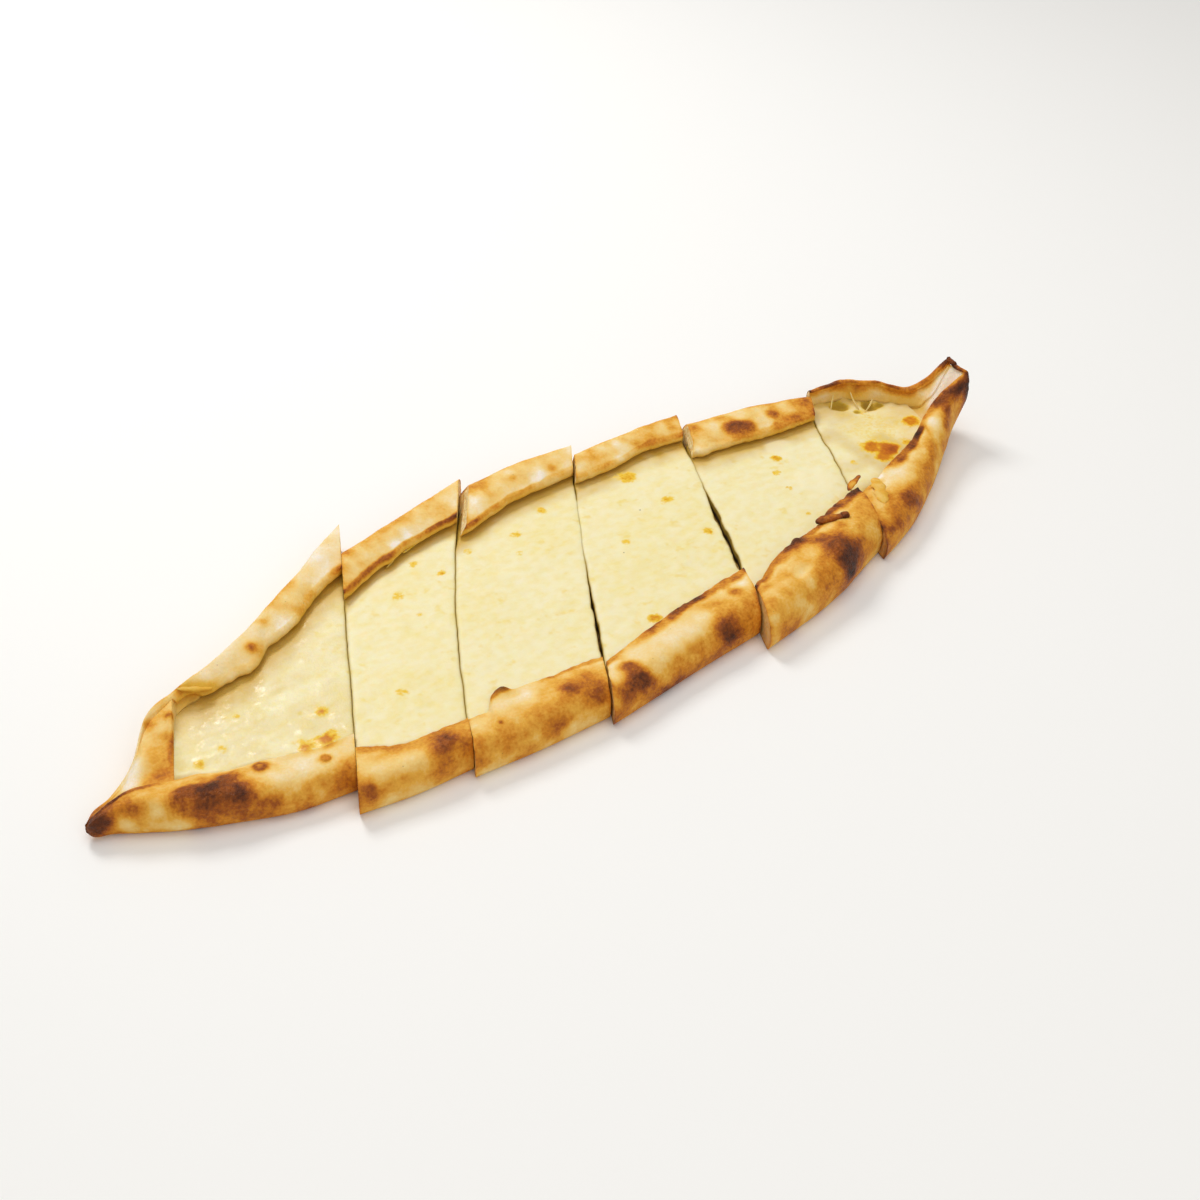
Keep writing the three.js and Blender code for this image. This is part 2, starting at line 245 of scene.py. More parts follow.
# The noises, each named for what it makes uneven: the cuts, the lips, the browning, the dough's form, the
# marks, the browned band along a lip, the crumb, the cheese and the strips
KNIFE_SWAY, KNIFE_JITTER, KERF_WIDTH = Grain(11, 3), Grain(3.4, 4, 0.4), Grain(4, 5, 0.4)
LIP_TEAR, LIP_FRAY, LIP_WAVE = Grain(7, 11), Grain(2.6, 12, 0.6), Grain(9, 13, 0.5)
BAKE_PATCH, BAKE_FLECK, LINING_FLECK = Grain(14, 21, 0.6), Grain(4.5, 22), Grain(7, 27, 0.12)
DOUGH_SWELL, DOUGH_DIMPLE, DOUGH_PUCKER = Grain(17, 23), Grain(6.5, 24), Grain(2.2, 25)
STAIN_EDGE, FLAP_DENT = Grain(6, 28, 3.0), Grain(13, 29, 1.3)
MARK_EDGE, MARK_FRAY = Grain(7, 31, 0.35), Grain(3, 32, 0.15)
BAND_WIDTH, BAND_FRAY = Grain(11, 33, 0.45), Grain(4, 34, 0.15)
CRUMB_HOLE, CRUMB_PORE = Grain(2.4, 41), Grain(1.1, 42, 0.6)
CHEESE_SWELL, CHEESE_SHRED, CHEESE_CLIMB = Grain(21, 51), Grain(4.2, 52), Grain(5, 54, 0.9)
EDGE_STRAY, SPOT_EDGE, OIL_PATCH = Grain(5, 53, 1.5), Grain(4.5, 55, 0.5), Grain(9, 57, 0.8)
STRIP_EDGE, STRIP_FLECK = Grain(3, 61, 0.35), Grain(4, 62, 0.2)


class Side(Enum):
    """The two folded sides of the boat; the value is the way inward along Y."""

    NEAR = 1
    FAR = -1


@dataclass(frozen=True)
class Cut:
    """A knife cut or a tip: x = middle + lean * y + bend * y^2.

    gape is the kerf's width by Y. slant is how far the face on its right leans back at the rim's top, by Y,
    so that its crumb shows. wander is how far the knife strays. A tip is baked and shows no crumb.
    """

    middle: float
    lean: float
    bend: float
    gape: Track
    slant: Track = NO_SLANT
    wander: float = 0.35
    tip: bool = False

    def x(self, y: Array, z: Array, face: int) -> Array:
        """X of one face of the cut.

        The middle line wanders by smooth noise, the two faces stand half a kerf from it, and the face on the
        right leans back from just below the cheese's top up to the rim's top.

        Args:
            y: places across the boat.
            z: heights.
            face: 1 for the face on the cut's right, -1 for the one on its left.

        Returns:
            One X for each place.
        """
        within = np.clip(y, -PLAN_REACH, PLAN_REACH)
        row = np.stack([y, np.full_like(y, self.middle), np.zeros_like(y)], axis=-1)
        stray = KNIFE_SWAY.at(row) + KNIFE_JITTER.at(row)
        line = self.middle + self.lean * y + self.bend * y * y + self.wander * stray
        half = self.gape.at(within) / 2 * (1 + KERF_WIDTH.at(row))
        if face < 0:
            return line - half
        return line + half + self.slant.at(within) * smooth(z, SLANT_FROM, SLANT_TO)


@dataclass(frozen=True)
class Rim:
    """One folded side of a slice.

    edge is the outer edge's Y. width runs from there in to the lip, crown and lip are heights, crest is
    where the crown sits and tuck how far the cheese reaches in under the fold, both as shares of the width.
    The bake tracks say how brown the lip, the top and the outer side are, from 0, pale, to 1, black. ragged
    is how unevenly the lip is torn, band how wide it is browned and thickness how thick it is.
    """

    side: Side
    edge: Track
    width: Track
    crown: Track
    lip: Track
    crest: Track
    lip_bake: Track
    top_bake: Track
    side_bake: Track
    tuck: Track = even(0.5, 0.5)
    ragged: float = 0.6
    band: float = 1.4
    thickness: float = 2.4

    def sizes(self, share: Array, length: float) -> RimSizes:
        """The rim's sizes at stations along the slice, with the lip's torn unevenness.

        Args:
            share: the stations, as shares along the slice.
            length: the slice's length in millimetres.

        Returns:
            The sizes as columns, one row for each station.
        """
        plane = np.full_like(share, TEAR_PLANE * self.side.value)
        row = np.stack([share * length, self.edge.at(share), plane], axis=-1)
        tear = self.ragged * (LIP_TEAR.at(row) + LIP_FRAY.at(row))
        wave = self.ragged * LIP_WAVE.at(row)
        width = self.width.at(share)
        slack = np.minimum(1, width / FULL_TEAR_WIDTH)
        return RimSizes(
            side=self.side,
            edge=self.edge.at(share)[:, None],
            width=(width + tear * slack)[:, None],
            crown=self.crown.at(share)[:, None],
            lip=(self.lip.at(share) + wave * slack)[:, None],
            crest=self.crest.at(share)[:, None],
            tuck=self.tuck.at(share)[:, None],
            thickness=self.thickness,
        )


@dataclass(frozen=True)
class RimSizes:
    """A rim's sizes as columns, one row for each station."""

    side: Side
    edge: Array
    width: Array
    crown: Array
    lip: Array
    crest: Array
    tuck: Array
    thickness: float

    @property
    def wall(self) -> Array:
        """How far in from the outer edge the dough's inner wall stands."""
        return (1 - self.tuck) * self.width

    @property
    def foot(self) -> Array:
        """How far in from the outer edge the foot stands."""
        return np.minimum(FOOT_INSET, FOOT_SHARE * self.width)

    def across(self, inset: Array) -> Array:
        """Y of a distance in from the outer edge."""
        return self.edge + self.side.value * inset

    def outer(self, girth: Array, lift: Array) -> tuple[Array, Array]:
        """The outer skin: a sine from the lip up to the crown, then a quarter ellipse down to the widest
        bulge and another in to the foot.

        Args:
            girth: places round the skin, 0 at the lip and 1 at the foot.
            lift: height of the underside at each station.

        Returns:
            Distances in from the outer edge, and heights.
        """
        bulge = mix(lift, self.crown, BULGE_SHARE)
        crest = self.crest * self.width
        rise = np.clip(girth / CROWN_GIRTH, 0, 1)
        roll = np.clip((girth - CROWN_GIRTH) / (BULGE_GIRTH - CROWN_GIRTH), 0, 1) * QUARTER
        toe = np.clip((girth - BULGE_GIRTH) / (1 - BULGE_GIRTH), 0, 1) * QUARTER
        on_top, on_roll = girth < CROWN_GIRTH, girth < BULGE_GIRTH
        low_inset = np.where(on_roll, crest * (1 - np.sin(roll)), self.foot * (1 - np.cos(toe)))
        low_height = np.where(on_roll, mix(bulge, self.crown, np.cos(roll)), mix(bulge, lift, np.sin(toe)))
        inset = np.where(on_top, mix(self.width, crest, rise), low_inset)
        height = np.where(on_top, mix(self.lip, self.crown, np.sin(rise * QUARTER)), low_height)
        return inset, height

    def inner(self, floor: Array, floor_width: Array) -> tuple[Array, Array]:
        """The inner skin, point for point with the outer one: the fold's underside from the lip to the inner
        wall, the wall down to the floor, and the first of the floor.

        Args:
            floor: height of the trough's floor at each station.
            floor_width: distance between the two inner walls at each station.

        Returns:
            Distances in from the outer edge, and heights.
        """
        root = np.maximum(CHEESE_TOP + CLEARANCE, floor + FLOOR_MARGIN)
        lip = np.maximum(self.lip - self.thickness, root)
        under = np.arange(LIP_COLUMNS)[None] / LIP_COLUMNS
        down = np.arange(ROLL_COLUMNS)[None] / ROLL_COLUMNS
        along = np.arange(TOE_COLUMNS + 1)[None] / TOE_COLUMNS
        flat = np.ones_like(down)
        inset = np.hstack([
            mix(self.width, self.wall, under), self.wall * flat, self.wall + floor_width * FLOOR_EDGE * along,
        ])
        height = np.hstack([mix(lip, root, under), mix(root, floor, down), floor * np.ones_like(along)])
        return inset, height


@dataclass(frozen=True)
class Mark:
    """A blister, a browned or pale patch, a crease or a dent in the dough.

    at is its place in the plan; with to it runs along the line between the two. All are in millimetres.
    bake is how brown its core is, rise how far it stands proud, oil how much cheese has stained it and crisp
    how sharp its edge is.
    """

    at: Point
    radius: float
    bake: float
    rise: float = 0.0
    to: Point | None = None
    oil: float = 0.0
    crisp: float = 3.2

    def reach(self, points: Array) -> Array:
        """Distances from the mark's line, as shares of its radius.

        Args:
            points: places on the dough.

        Returns:
            One distance for each point: 0 on the line, 1 at the radius.
        """
        start = np.array(self.at) - MIDDLE
        line = np.array(self.to or self.at) - MIDDLE - start
        gone = np.clip(((points - start) @ line) / max(line @ line, TINY), 0, 1)
        return np.linalg.norm(points - start - gone[..., None] * line, axis=-1) / self.radius


@dataclass(frozen=True)
class Spot:
    """A browned spot, a bubble or a pocket in the cheese, at a place in the plan, in millimetres.

    gold is how brown it is, below 0 for a pale bubble, rise how far it stands proud, oil how yellow it is,
    pocket_shade how much painted shade darkens it as a pocket, and crisp how sharp its edge is.
    """

    at: tuple[float, float]
    radius: float
    gold: float
    rise: float = 0.15
    oil: float = 0.0
    pocket_shade: float = 0.0
    crisp: float = 4.0


@dataclass(frozen=True)
class Strip:
    """A torn strip or flake of dough, or a string of cheese, along a line through places in the plan.

    bake is how brown its top is, ring how much browner its sides and ends are and oil how much cheese has
    stained it. blunt is how blunt its ends are: 4 for rounded ones, about 1 for points. rows and columns are
    its points along it and round it.
    """

    places: tuple[Point, ...]
    width: float
    thickness: float
    bake: float = 0.0
    ring: float = 0.0
    oil: float = 0.0
    blunt: float = 4.0
    rows: int = 40
    columns: int = 12

    def baked(self) -> Array:
        """How brown the strip is: ring more along its sides and at its ends than on its top.

        Returns:
            One value for each place along it and round it.
        """
        gone = np.linspace(-1, 1, self.rows + 1)[:, None]
        turn = np.linspace(0, 2 * math.pi, self.columns + 1)[None]
        return self.bake + self.ring * np.maximum(np.cos(turn) ** 2, gone**4)

    def surface(self) -> Array:
        """Points of the strip, by place along it and round it.

        Round a smooth line through the places goes an ellipse as wide and thick as the strip, level across.
        Both shrink to nothing at the ends as (1 - |2t - 1|^blunt)^(1/2), and noise makes them uneven.

        Returns:
            Points with X, Y and Z along the last axis.
        """
        gone = np.linspace(0, 1, self.rows + 1)
        path = np.stack([even(*axis).at(gone) for axis in zip(*self.places)], axis=-1) - MIDDLE
        ahead = np.gradient(path, axis=0)
        ahead = ahead / np.linalg.norm(ahead, axis=-1, keepdims=True)
        aside = np.cross(ahead, np.array([0.0, 0.0, 1.0]))
        aside = aside / np.linalg.norm(aside, axis=-1, keepdims=True)
        above = np.cross(aside, ahead)
        shrunk = np.sqrt(np.clip(1 - abs(2 * gone - 1) ** self.blunt, 0, 1))
        full = (shrunk * (1 + STRIP_EDGE.at(path)))[:, None, None]
        turn = np.linspace(0, 2 * math.pi, self.columns + 1)[None, :, None]
        wide = self.width / 2 * np.cos(turn) * aside[:, None]
        tall = self.thickness / 2 * np.sin(turn) * above[:, None]
        points = path[:, None] + (wide + tall) * full
        points[:, -1] = points[:, 0]
        return points


@dataclass(frozen=True)
class Slice:
    """One slice between two cuts, with its two folded rims, its marks and strips and its cheese's spots.

    wet is how glossy its cheese is, oily how yellow it is in patches and far_oil_and_shade how far from the
    far fold it is yellow, partly with oil and partly with painted shade. climb is how far the cheese creeps
    up the far wall and brim how far it stands up at the near fold. lift and floor are the heights of the
    underside and of the trough's floor. trough_start and cheese_end are shares along the slice: left of the
    first it is folded shut, and at the second the cheese ends.
    """

    name: str
    ends: tuple[Cut, Cut]
    near: Rim
    far: Rim
    marks: tuple[Mark, ...] = ()
    strips: tuple[Strip, ...] = ()
    spots: tuple[Spot, ...] = ()
    strings: tuple[Strip, ...] = ()
    wet: float = 0.15
    oily: float = 0.0
    far_oil_and_shade: float = 15.0
    climb: float = 0.0
    brim: float = 0.0
    lift: Track = even(0, 0)
    floor: Track = even(BASE_THICKNESS, BASE_THICKNESS)
    trough_start: float = 0.0
    cheese_end: float = 1.0

    @property
    def length(self) -> float:
        """Length of the slice along the boat's middle, in millimetres."""
        return self.ends[1].middle - self.ends[0].middle

    def place(self, share: Array, y: Array, z: Array) -> Array:
        """Points of the slice: X lies between the two cuts at that Y.

        Args:
            share: shares along the slice.
            y: places across the boat.
            z: heights.

        Returns:
            Points with X, Y and Z along the last axis.
        """
        share, y, z = np.broadcast_arrays(share, y, z)
        x = mix(self.ends[0].x(y, z, 1), self.ends[1].x(y, z, -1), share)
        return np.stack([x, y, z], axis=-1) - MIDDLE


class Shell:
    """A closed skin put together from sheets of points that share their borders."""

    def __init__(self) -> None:
        """Starts with no sheets."""
        self.points: list[Array] = []
        self.triangles: list[Array] = []
        self.fields: dict[str, list[Array]] = {}
        self.count = 0

    def sheet(self, points: Array, flipped: bool, **fields: Any) -> None:
        """Adds a sheet. Its faces point along rows x columns, or the other way when flipped.

        Args:
            points: places in millimetres, by row, column and axis.
            flipped: whether the faces are turned over.
            fields: numbers for each point, or one for them all, by name.
        """
        rows, columns = points.shape[:2]
        index = np.arange(rows * columns).reshape(rows, columns) + self.count
        corners = (index[:-1, :-1], index[1:, :-1], index[1:, 1:], index[:-1, 1:])
        quad = np.stack(corners, axis=-1).reshape(-1, 4)
        if flipped:
            quad = quad[:, ::-1]
        self.triangles.append(quad[:, [0, 1, 2, 0, 2, 3]].reshape(-1, 3))
        self.points.append(points.reshape(-1, 3))
        for name, values in fields.items():
            self.fields.setdefault(name, []).append(np.broadcast_to(values, (rows, columns)).reshape(-1))
        self.count += rows * columns

    def to_object(self, name: str) -> bpy.types.Object:
        """Welds the sheets' borders and makes the mesh, with each field as an attribute of its points.

        Args:
            name: the object's name.

        Returns:
            The object, at the origin, with its place in its mesh.
        """
        points = np.concatenate(self.points)
        _, first, welded = np.unique(np.round(points / WELD).astype(np.int64), axis=0,
                                     return_index=True, return_inverse=True)
        faces = welded.reshape(-1)[np.concatenate(self.triangles)]
        whole = (faces[:, 0] != faces[:, 1]) & (faces[:, 1] != faces[:, 2]) & (faces[:, 2] != faces[:, 0])
        faces = faces[whole]
        mesh = bpy.data.meshes.new(name)
        mesh.vertices.add(len(first))
        mesh.vertices.foreach_set("co", (points[first] * MM).astype(np.float32).ravel())
        mesh.loops.add(faces.size)
        mesh.loops.foreach_set("vertex_index", faces.astype(np.int32).ravel())
        mesh.polygons.add(len(faces))
        mesh.polygons.foreach_set("loop_start", np.arange(0, faces.size, 3, dtype=np.int32))
        mesh.update(calc_edges=True)
        mesh.polygons.foreach_set("use_smooth", np.ones(len(faces), dtype=bool))
        for field, values in self.fields.items():
            attribute = mesh.attributes.new(field, "FLOAT", "POINT")
            attribute.data.foreach_set("value", np.concatenate(values)[first].astype(np.float32))
        made = bpy.data.objects.new(name, mesh)
        bpy.context.scene.collection.objects.link(made)
        return made


class Value:
    """A number in a material's nodes, for maths written as expressions."""

    def __init__(self, nodes: Nodes, socket: bpy.types.NodeSocket) -> None:
        """Wraps an output socket of a node tree."""
        self.nodes = nodes
        self.socket = socket

    def _math(self, operation: str, *terms: Term) -> Value:
        """A Math node of the terms."""
        node = self.nodes.node("ShaderNodeMath", {"operation": operation}, dict(enumerate(terms)))
        return Value(self.nodes, node.outputs[0])

    def __add__(self, other: Term) -> Value:
        """Sum."""
        return self._math("ADD", self, other)

    def __radd__(self, other: Term) -> Value:
        """Sum."""
        return self._math("ADD", other, self)

    def __sub__(self, other: Term) -> Value:
        """Difference."""
        return self._math("SUBTRACT", self, other)

    def __rsub__(self, other: Term) -> Value:
        """Difference, the other way round."""
        return self._math("SUBTRACT", other, self)

    def __mul__(self, other: Term) -> Value:
        """Product."""
        return self._math("MULTIPLY", self, other)

    def __rmul__(self, other: Term) -> Value:
        """Product."""
        return self._math("MULTIPLY", other, self)

    def step(self, low: float, high: float) -> Value:
        """Smooth step: 0 at low and 1 at high."""
        settings = {"interpolation_type": "SMOOTHSTEP"}
        sockets = {"Value": self, "From Min": low, "From Max": high}
        return Value(self.nodes, self.nodes.node("ShaderNodeMapRange", settings, sockets).outputs["Result"])


Term = Union[Value, float]


class Nodes:
    """The nodes of one material."""

    def __init__(self, name: str) -> None:
        """Makes an empty material with a surface output."""
        self.material = bpy.data.materials.new(name)
        self.material.use_nodes = True
        self.tree = self.material.node_tree
        self.tree.nodes.clear()
        self.place = self.node("ShaderNodeTexCoord").outputs["Object"]

    def node(self, kind: str, settings: dict[str, Any] | None = None,
             sockets: dict[str | int, Any] | None = None) -> bpy.types.Node:
        """Adds a node.

        Args:
            kind: the node's type.
            settings: its settings, set first; stops are a ramp's (place, colour) pairs.
            sockets: values or links of its inputs, by name or number.

        Returns:
            The node.
        """
        made = self.tree.nodes.new(kind)
        for name, setting in (settings or {}).items():
            if name == "stops":
                self._set_stops(made.color_ramp, setting)
            else:
                setattr(made, name, setting)
        for name, value in (sockets or {}).items():
            if isinstance(value, Value):
                self.tree.links.new(value.socket, made.inputs[name])
            elif isinstance(value, bpy.types.NodeSocket):
                self.tree.links.new(value, made.inputs[name])
            else:
                made.inputs[name].default_value = value
        return made

    @staticmethod
    def _set_stops(ramp: bpy.types.ColorRamp, stops: tuple[tuple[float, Colour], ...]) -> None:
        """Gives a ramp its stops, in rising order."""
        while len(ramp.elements) > 1:
            ramp.elements.remove(ramp.elements[-1])
        ramp.elements[0].position, ramp.elements[0].color = stops[0]
        for position, colour in stops[1:]:
            ramp.elements.new(position).color = colour

    def field(self, name: str) -> Value:
        """A mesh attribute of the piece's points."""
        return Value(self, self.node("ShaderNodeAttribute", {"attribute_name": name}).outputs["Fac"])

    def noise(self, size: float, detail: float = 2.0, stretch: Point = (1, 1, 1)) -> Value:
        """Noise of about 0 to 1 on the piece.

        Args:
            size: width of its lumps, in millimetres.
            detail: how many finer layers it has.
            stretch: how much denser it is along each axis.

        Returns:
            The noise.
        """
        spread = {"Vector": self.place, "Scale": stretch}
        scaled = self.node("ShaderNodeMapping", {"vector_type": "POINT"}, spread)
        sockets = {"Vector": scaled.outputs[0], "Scale": 1 / (size * MM), "Detail": detail}
        return Value(self, self.node("ShaderNodeTexNoise", None, sockets).outputs["Fac"])

    def dots(self, apart: float, reach: float) -> Value:
        """Scattered round specks.

        Args:
            apart: about how far apart they are, in millimetres.
            reach: their radius as a share of that.

        Returns:
            1 in a speck's middle and 0 outside it.
        """
        sockets = {"Vector": self.place, "Scale": 1 / (apart * MM)}
        cells = self.node("ShaderNodeTexVoronoi", None, sockets).outputs["Distance"]
        return 1 - Value(self, cells).step(reach / 2, reach)

    def ramp(self, value: Value, stops: tuple[tuple[float, Colour], ...]) -> bpy.types.NodeSocket:
        """A colour picked by a value."""
        return self.node("ShaderNodeValToRGB", {"stops": stops}, {"Fac": value}).outputs["Color"]

    def blend(self, share: Term, start: Any, end: Any) -> bpy.types.NodeSocket:
        """A colour a share of the way from start to end."""
        node = self.node("ShaderNodeMix", {"data_type": "RGBA"}, {0: share, 6: start, 7: end})
        return node.outputs[2]

    def bump(self, height: Value, depth: float) -> bpy.types.NodeSocket:
        """A surface normal from a height of 0 to 1 and its depth in millimetres."""
        sockets = {"Height": height, "Distance": depth * MM, "Strength": 1.0}
        return self.node("ShaderNodeBump", None, sockets).outputs["Normal"]

    def surface(self, sockets: dict[str, Any]) -> bpy.types.Material:
        """Finishes the material with a Principled shader.

        Args:
            sockets: the shader's values and links.

        Returns:
            The material.
        """
        shader = self.node("ShaderNodeBsdfPrincipled", None, sockets)
        self.node("ShaderNodeOutputMaterial", None, {"Surface": shader.outputs["BSDF"]})
        return self.material


@dataclass(frozen=True)
class CrustFinish:
    """Baked dough: cream where it is pale, through gold and brown to black, with pale crumb at the cuts.

    mottle, freckle and crackle are how much each noise browns or pales it, from broad to fine, and their
    sizes are the widths of the noises' lumps in millimetres. Pale dough keeps the shares pale_mottle and
    pale_freckle of the first two, and dark dough loses dark_freckle of the second. tan, golden, dark, crisp
    and glossy are bakes, from where each look starts to where it is full, and open_pore is the same for the
    noise of the pores. relief is the depth of the fine bumps in millimetres. They are made up of pores in the
    crumb, lumps, crinkles, which stand higher by crisp_crinkles on crisp dough, and dust.
    """

    name: str = "baked_dough"
    bake_colours: tuple[tuple[float, Colour], ...] = (
        (0.0, srgb(253, 240, 222)),
        (0.035, srgb(250, 232, 198)),
        (0.07, srgb(248, 225, 178)),
        (0.12, srgb(246, 217, 156)),
        (0.2, srgb(245, 207, 126)),
        (0.38, srgb(235, 175, 67)),
        (0.55, srgb(212, 134, 32)),
        (0.7, srgb(166, 88, 24)),
        (0.85, srgb(104, 52, 22)),
        (1.0, srgb(50, 28, 20)),
    )
    crumb_colour: Colour = srgb(255, 234, 178)
    crumb_shade: Colour = srgb(242, 204, 126)
    # stain_and_shade is the cheese's golden stain, darkened to stand also for painted shade under the folds
    stain_and_shade: Colour = srgb(228, 182, 62)
    speck: Colour = srgb(92, 48, 18)
    tan: Span = (0.1, 0.4)
    golden: Span = (0.15, 0.5)
    dark: Span = (0.6, 0.9)
    crisp: Span = (0.5, 0.85)
    glossy: Span = (0.3, 0.9)
    open_pore: Span = (0.35, 0.6)
    mottle: float = 0.55
    mottle_size: float = 8.0
    pale_mottle: float = 0.45
    freckle: float = 0.3
    freckle_size: float = 1.3
    pale_freckle: float = 0.4
    dark_freckle: float = 0.5
    crackle: float = 0.12
    crackle_size: float = 2.0
    speck_gap: float = 7.0
    speck_reach: float = 0.05
    speck_strength: float = 0.35
    roughness: float = 0.68
    gloss: float = 0.26
    crumb_roughness: float = 0.2
    pores: float = 2.0
    pore_size: float = 1.6
    lumps: float = 0.8
    lump_size: float = 3.5
    crinkles: float = 0.5
    crisp_crinkles: float = 2.0
    crinkle_size: float = 1.1
    dust: float = 0.4
    dust_size: float = 0.45
    relief: float = 0.45

    def material(self) -> bpy.types.Material:
        """The crust's material: its points' bake, mottled by noise, picks the colour.

        Returns:
            The material.
        """
        nodes = Nodes(self.name)
        bake, crumb, oil = nodes.field("bake"), nodes.field("crumb"), nodes.field("oil")
        coloured = self.pale_mottle + bake.step(*self.tan) * (1 - self.pale_mottle)
        mottle = (nodes.noise(self.mottle_size) - NOISE_MEAN) * coloured * self.mottle
        lively = self.pale_freckle + bake.step(*self.golden) * (1 - self.pale_freckle)
        lively = lively - bake.step(*self.dark) * self.dark_freckle
        freckle = (nodes.noise(self.freckle_size) - NOISE_MEAN) * lively * self.freckle
        crackle = (nodes.noise(self.crackle_size) - NOISE_MEAN) * bake.step(*SCORCHED) * self.crackle
        baked = bake + mottle + freckle + crackle
        # the oil field carries cheese stains and the painted shade under the folds
        skin = nodes.blend(oil, nodes.ramp(baked, self.bake_colours), self.stain_and_shade)
        specks = nodes.dots(self.speck_gap, self.speck_reach) * self.speck_strength
        dotted = nodes.blend(specks, skin, self.speck)
        pores = nodes.noise(self.pore_size, 3)
        inside = nodes.blend(pores.step(*self.open_pore), self.crumb_shade, self.crumb_colour)
        colour = nodes.blend(crumb, dotted, inside)
        roughness = self.roughness - baked.step(*self.glossy) * self.gloss + crumb * self.crumb_roughness
        crinkles = self.crinkles + bake.step(*self.crisp) * self.crisp_crinkles
        crinkled = nodes.noise(self.crinkle_size, 3) * crinkles
        fine = nodes.noise(self.lump_size, 3) * self.lumps + nodes.noise(self.dust_size) * self.dust
        height = crinkled + fine + pores * crumb * self.pores
        return nodes.surface({
            "Base Color": colour,
            "Roughness": roughness,
            "Normal": nodes.bump(height, self.relief),
            "Specular IOR Level": 0.18,
            "Subsurface Weight": 0.12,
            "Subsurface Radius": (1.0, 0.45, 0.2),
            "Subsurface Scale": 1.5 * MM,
        })


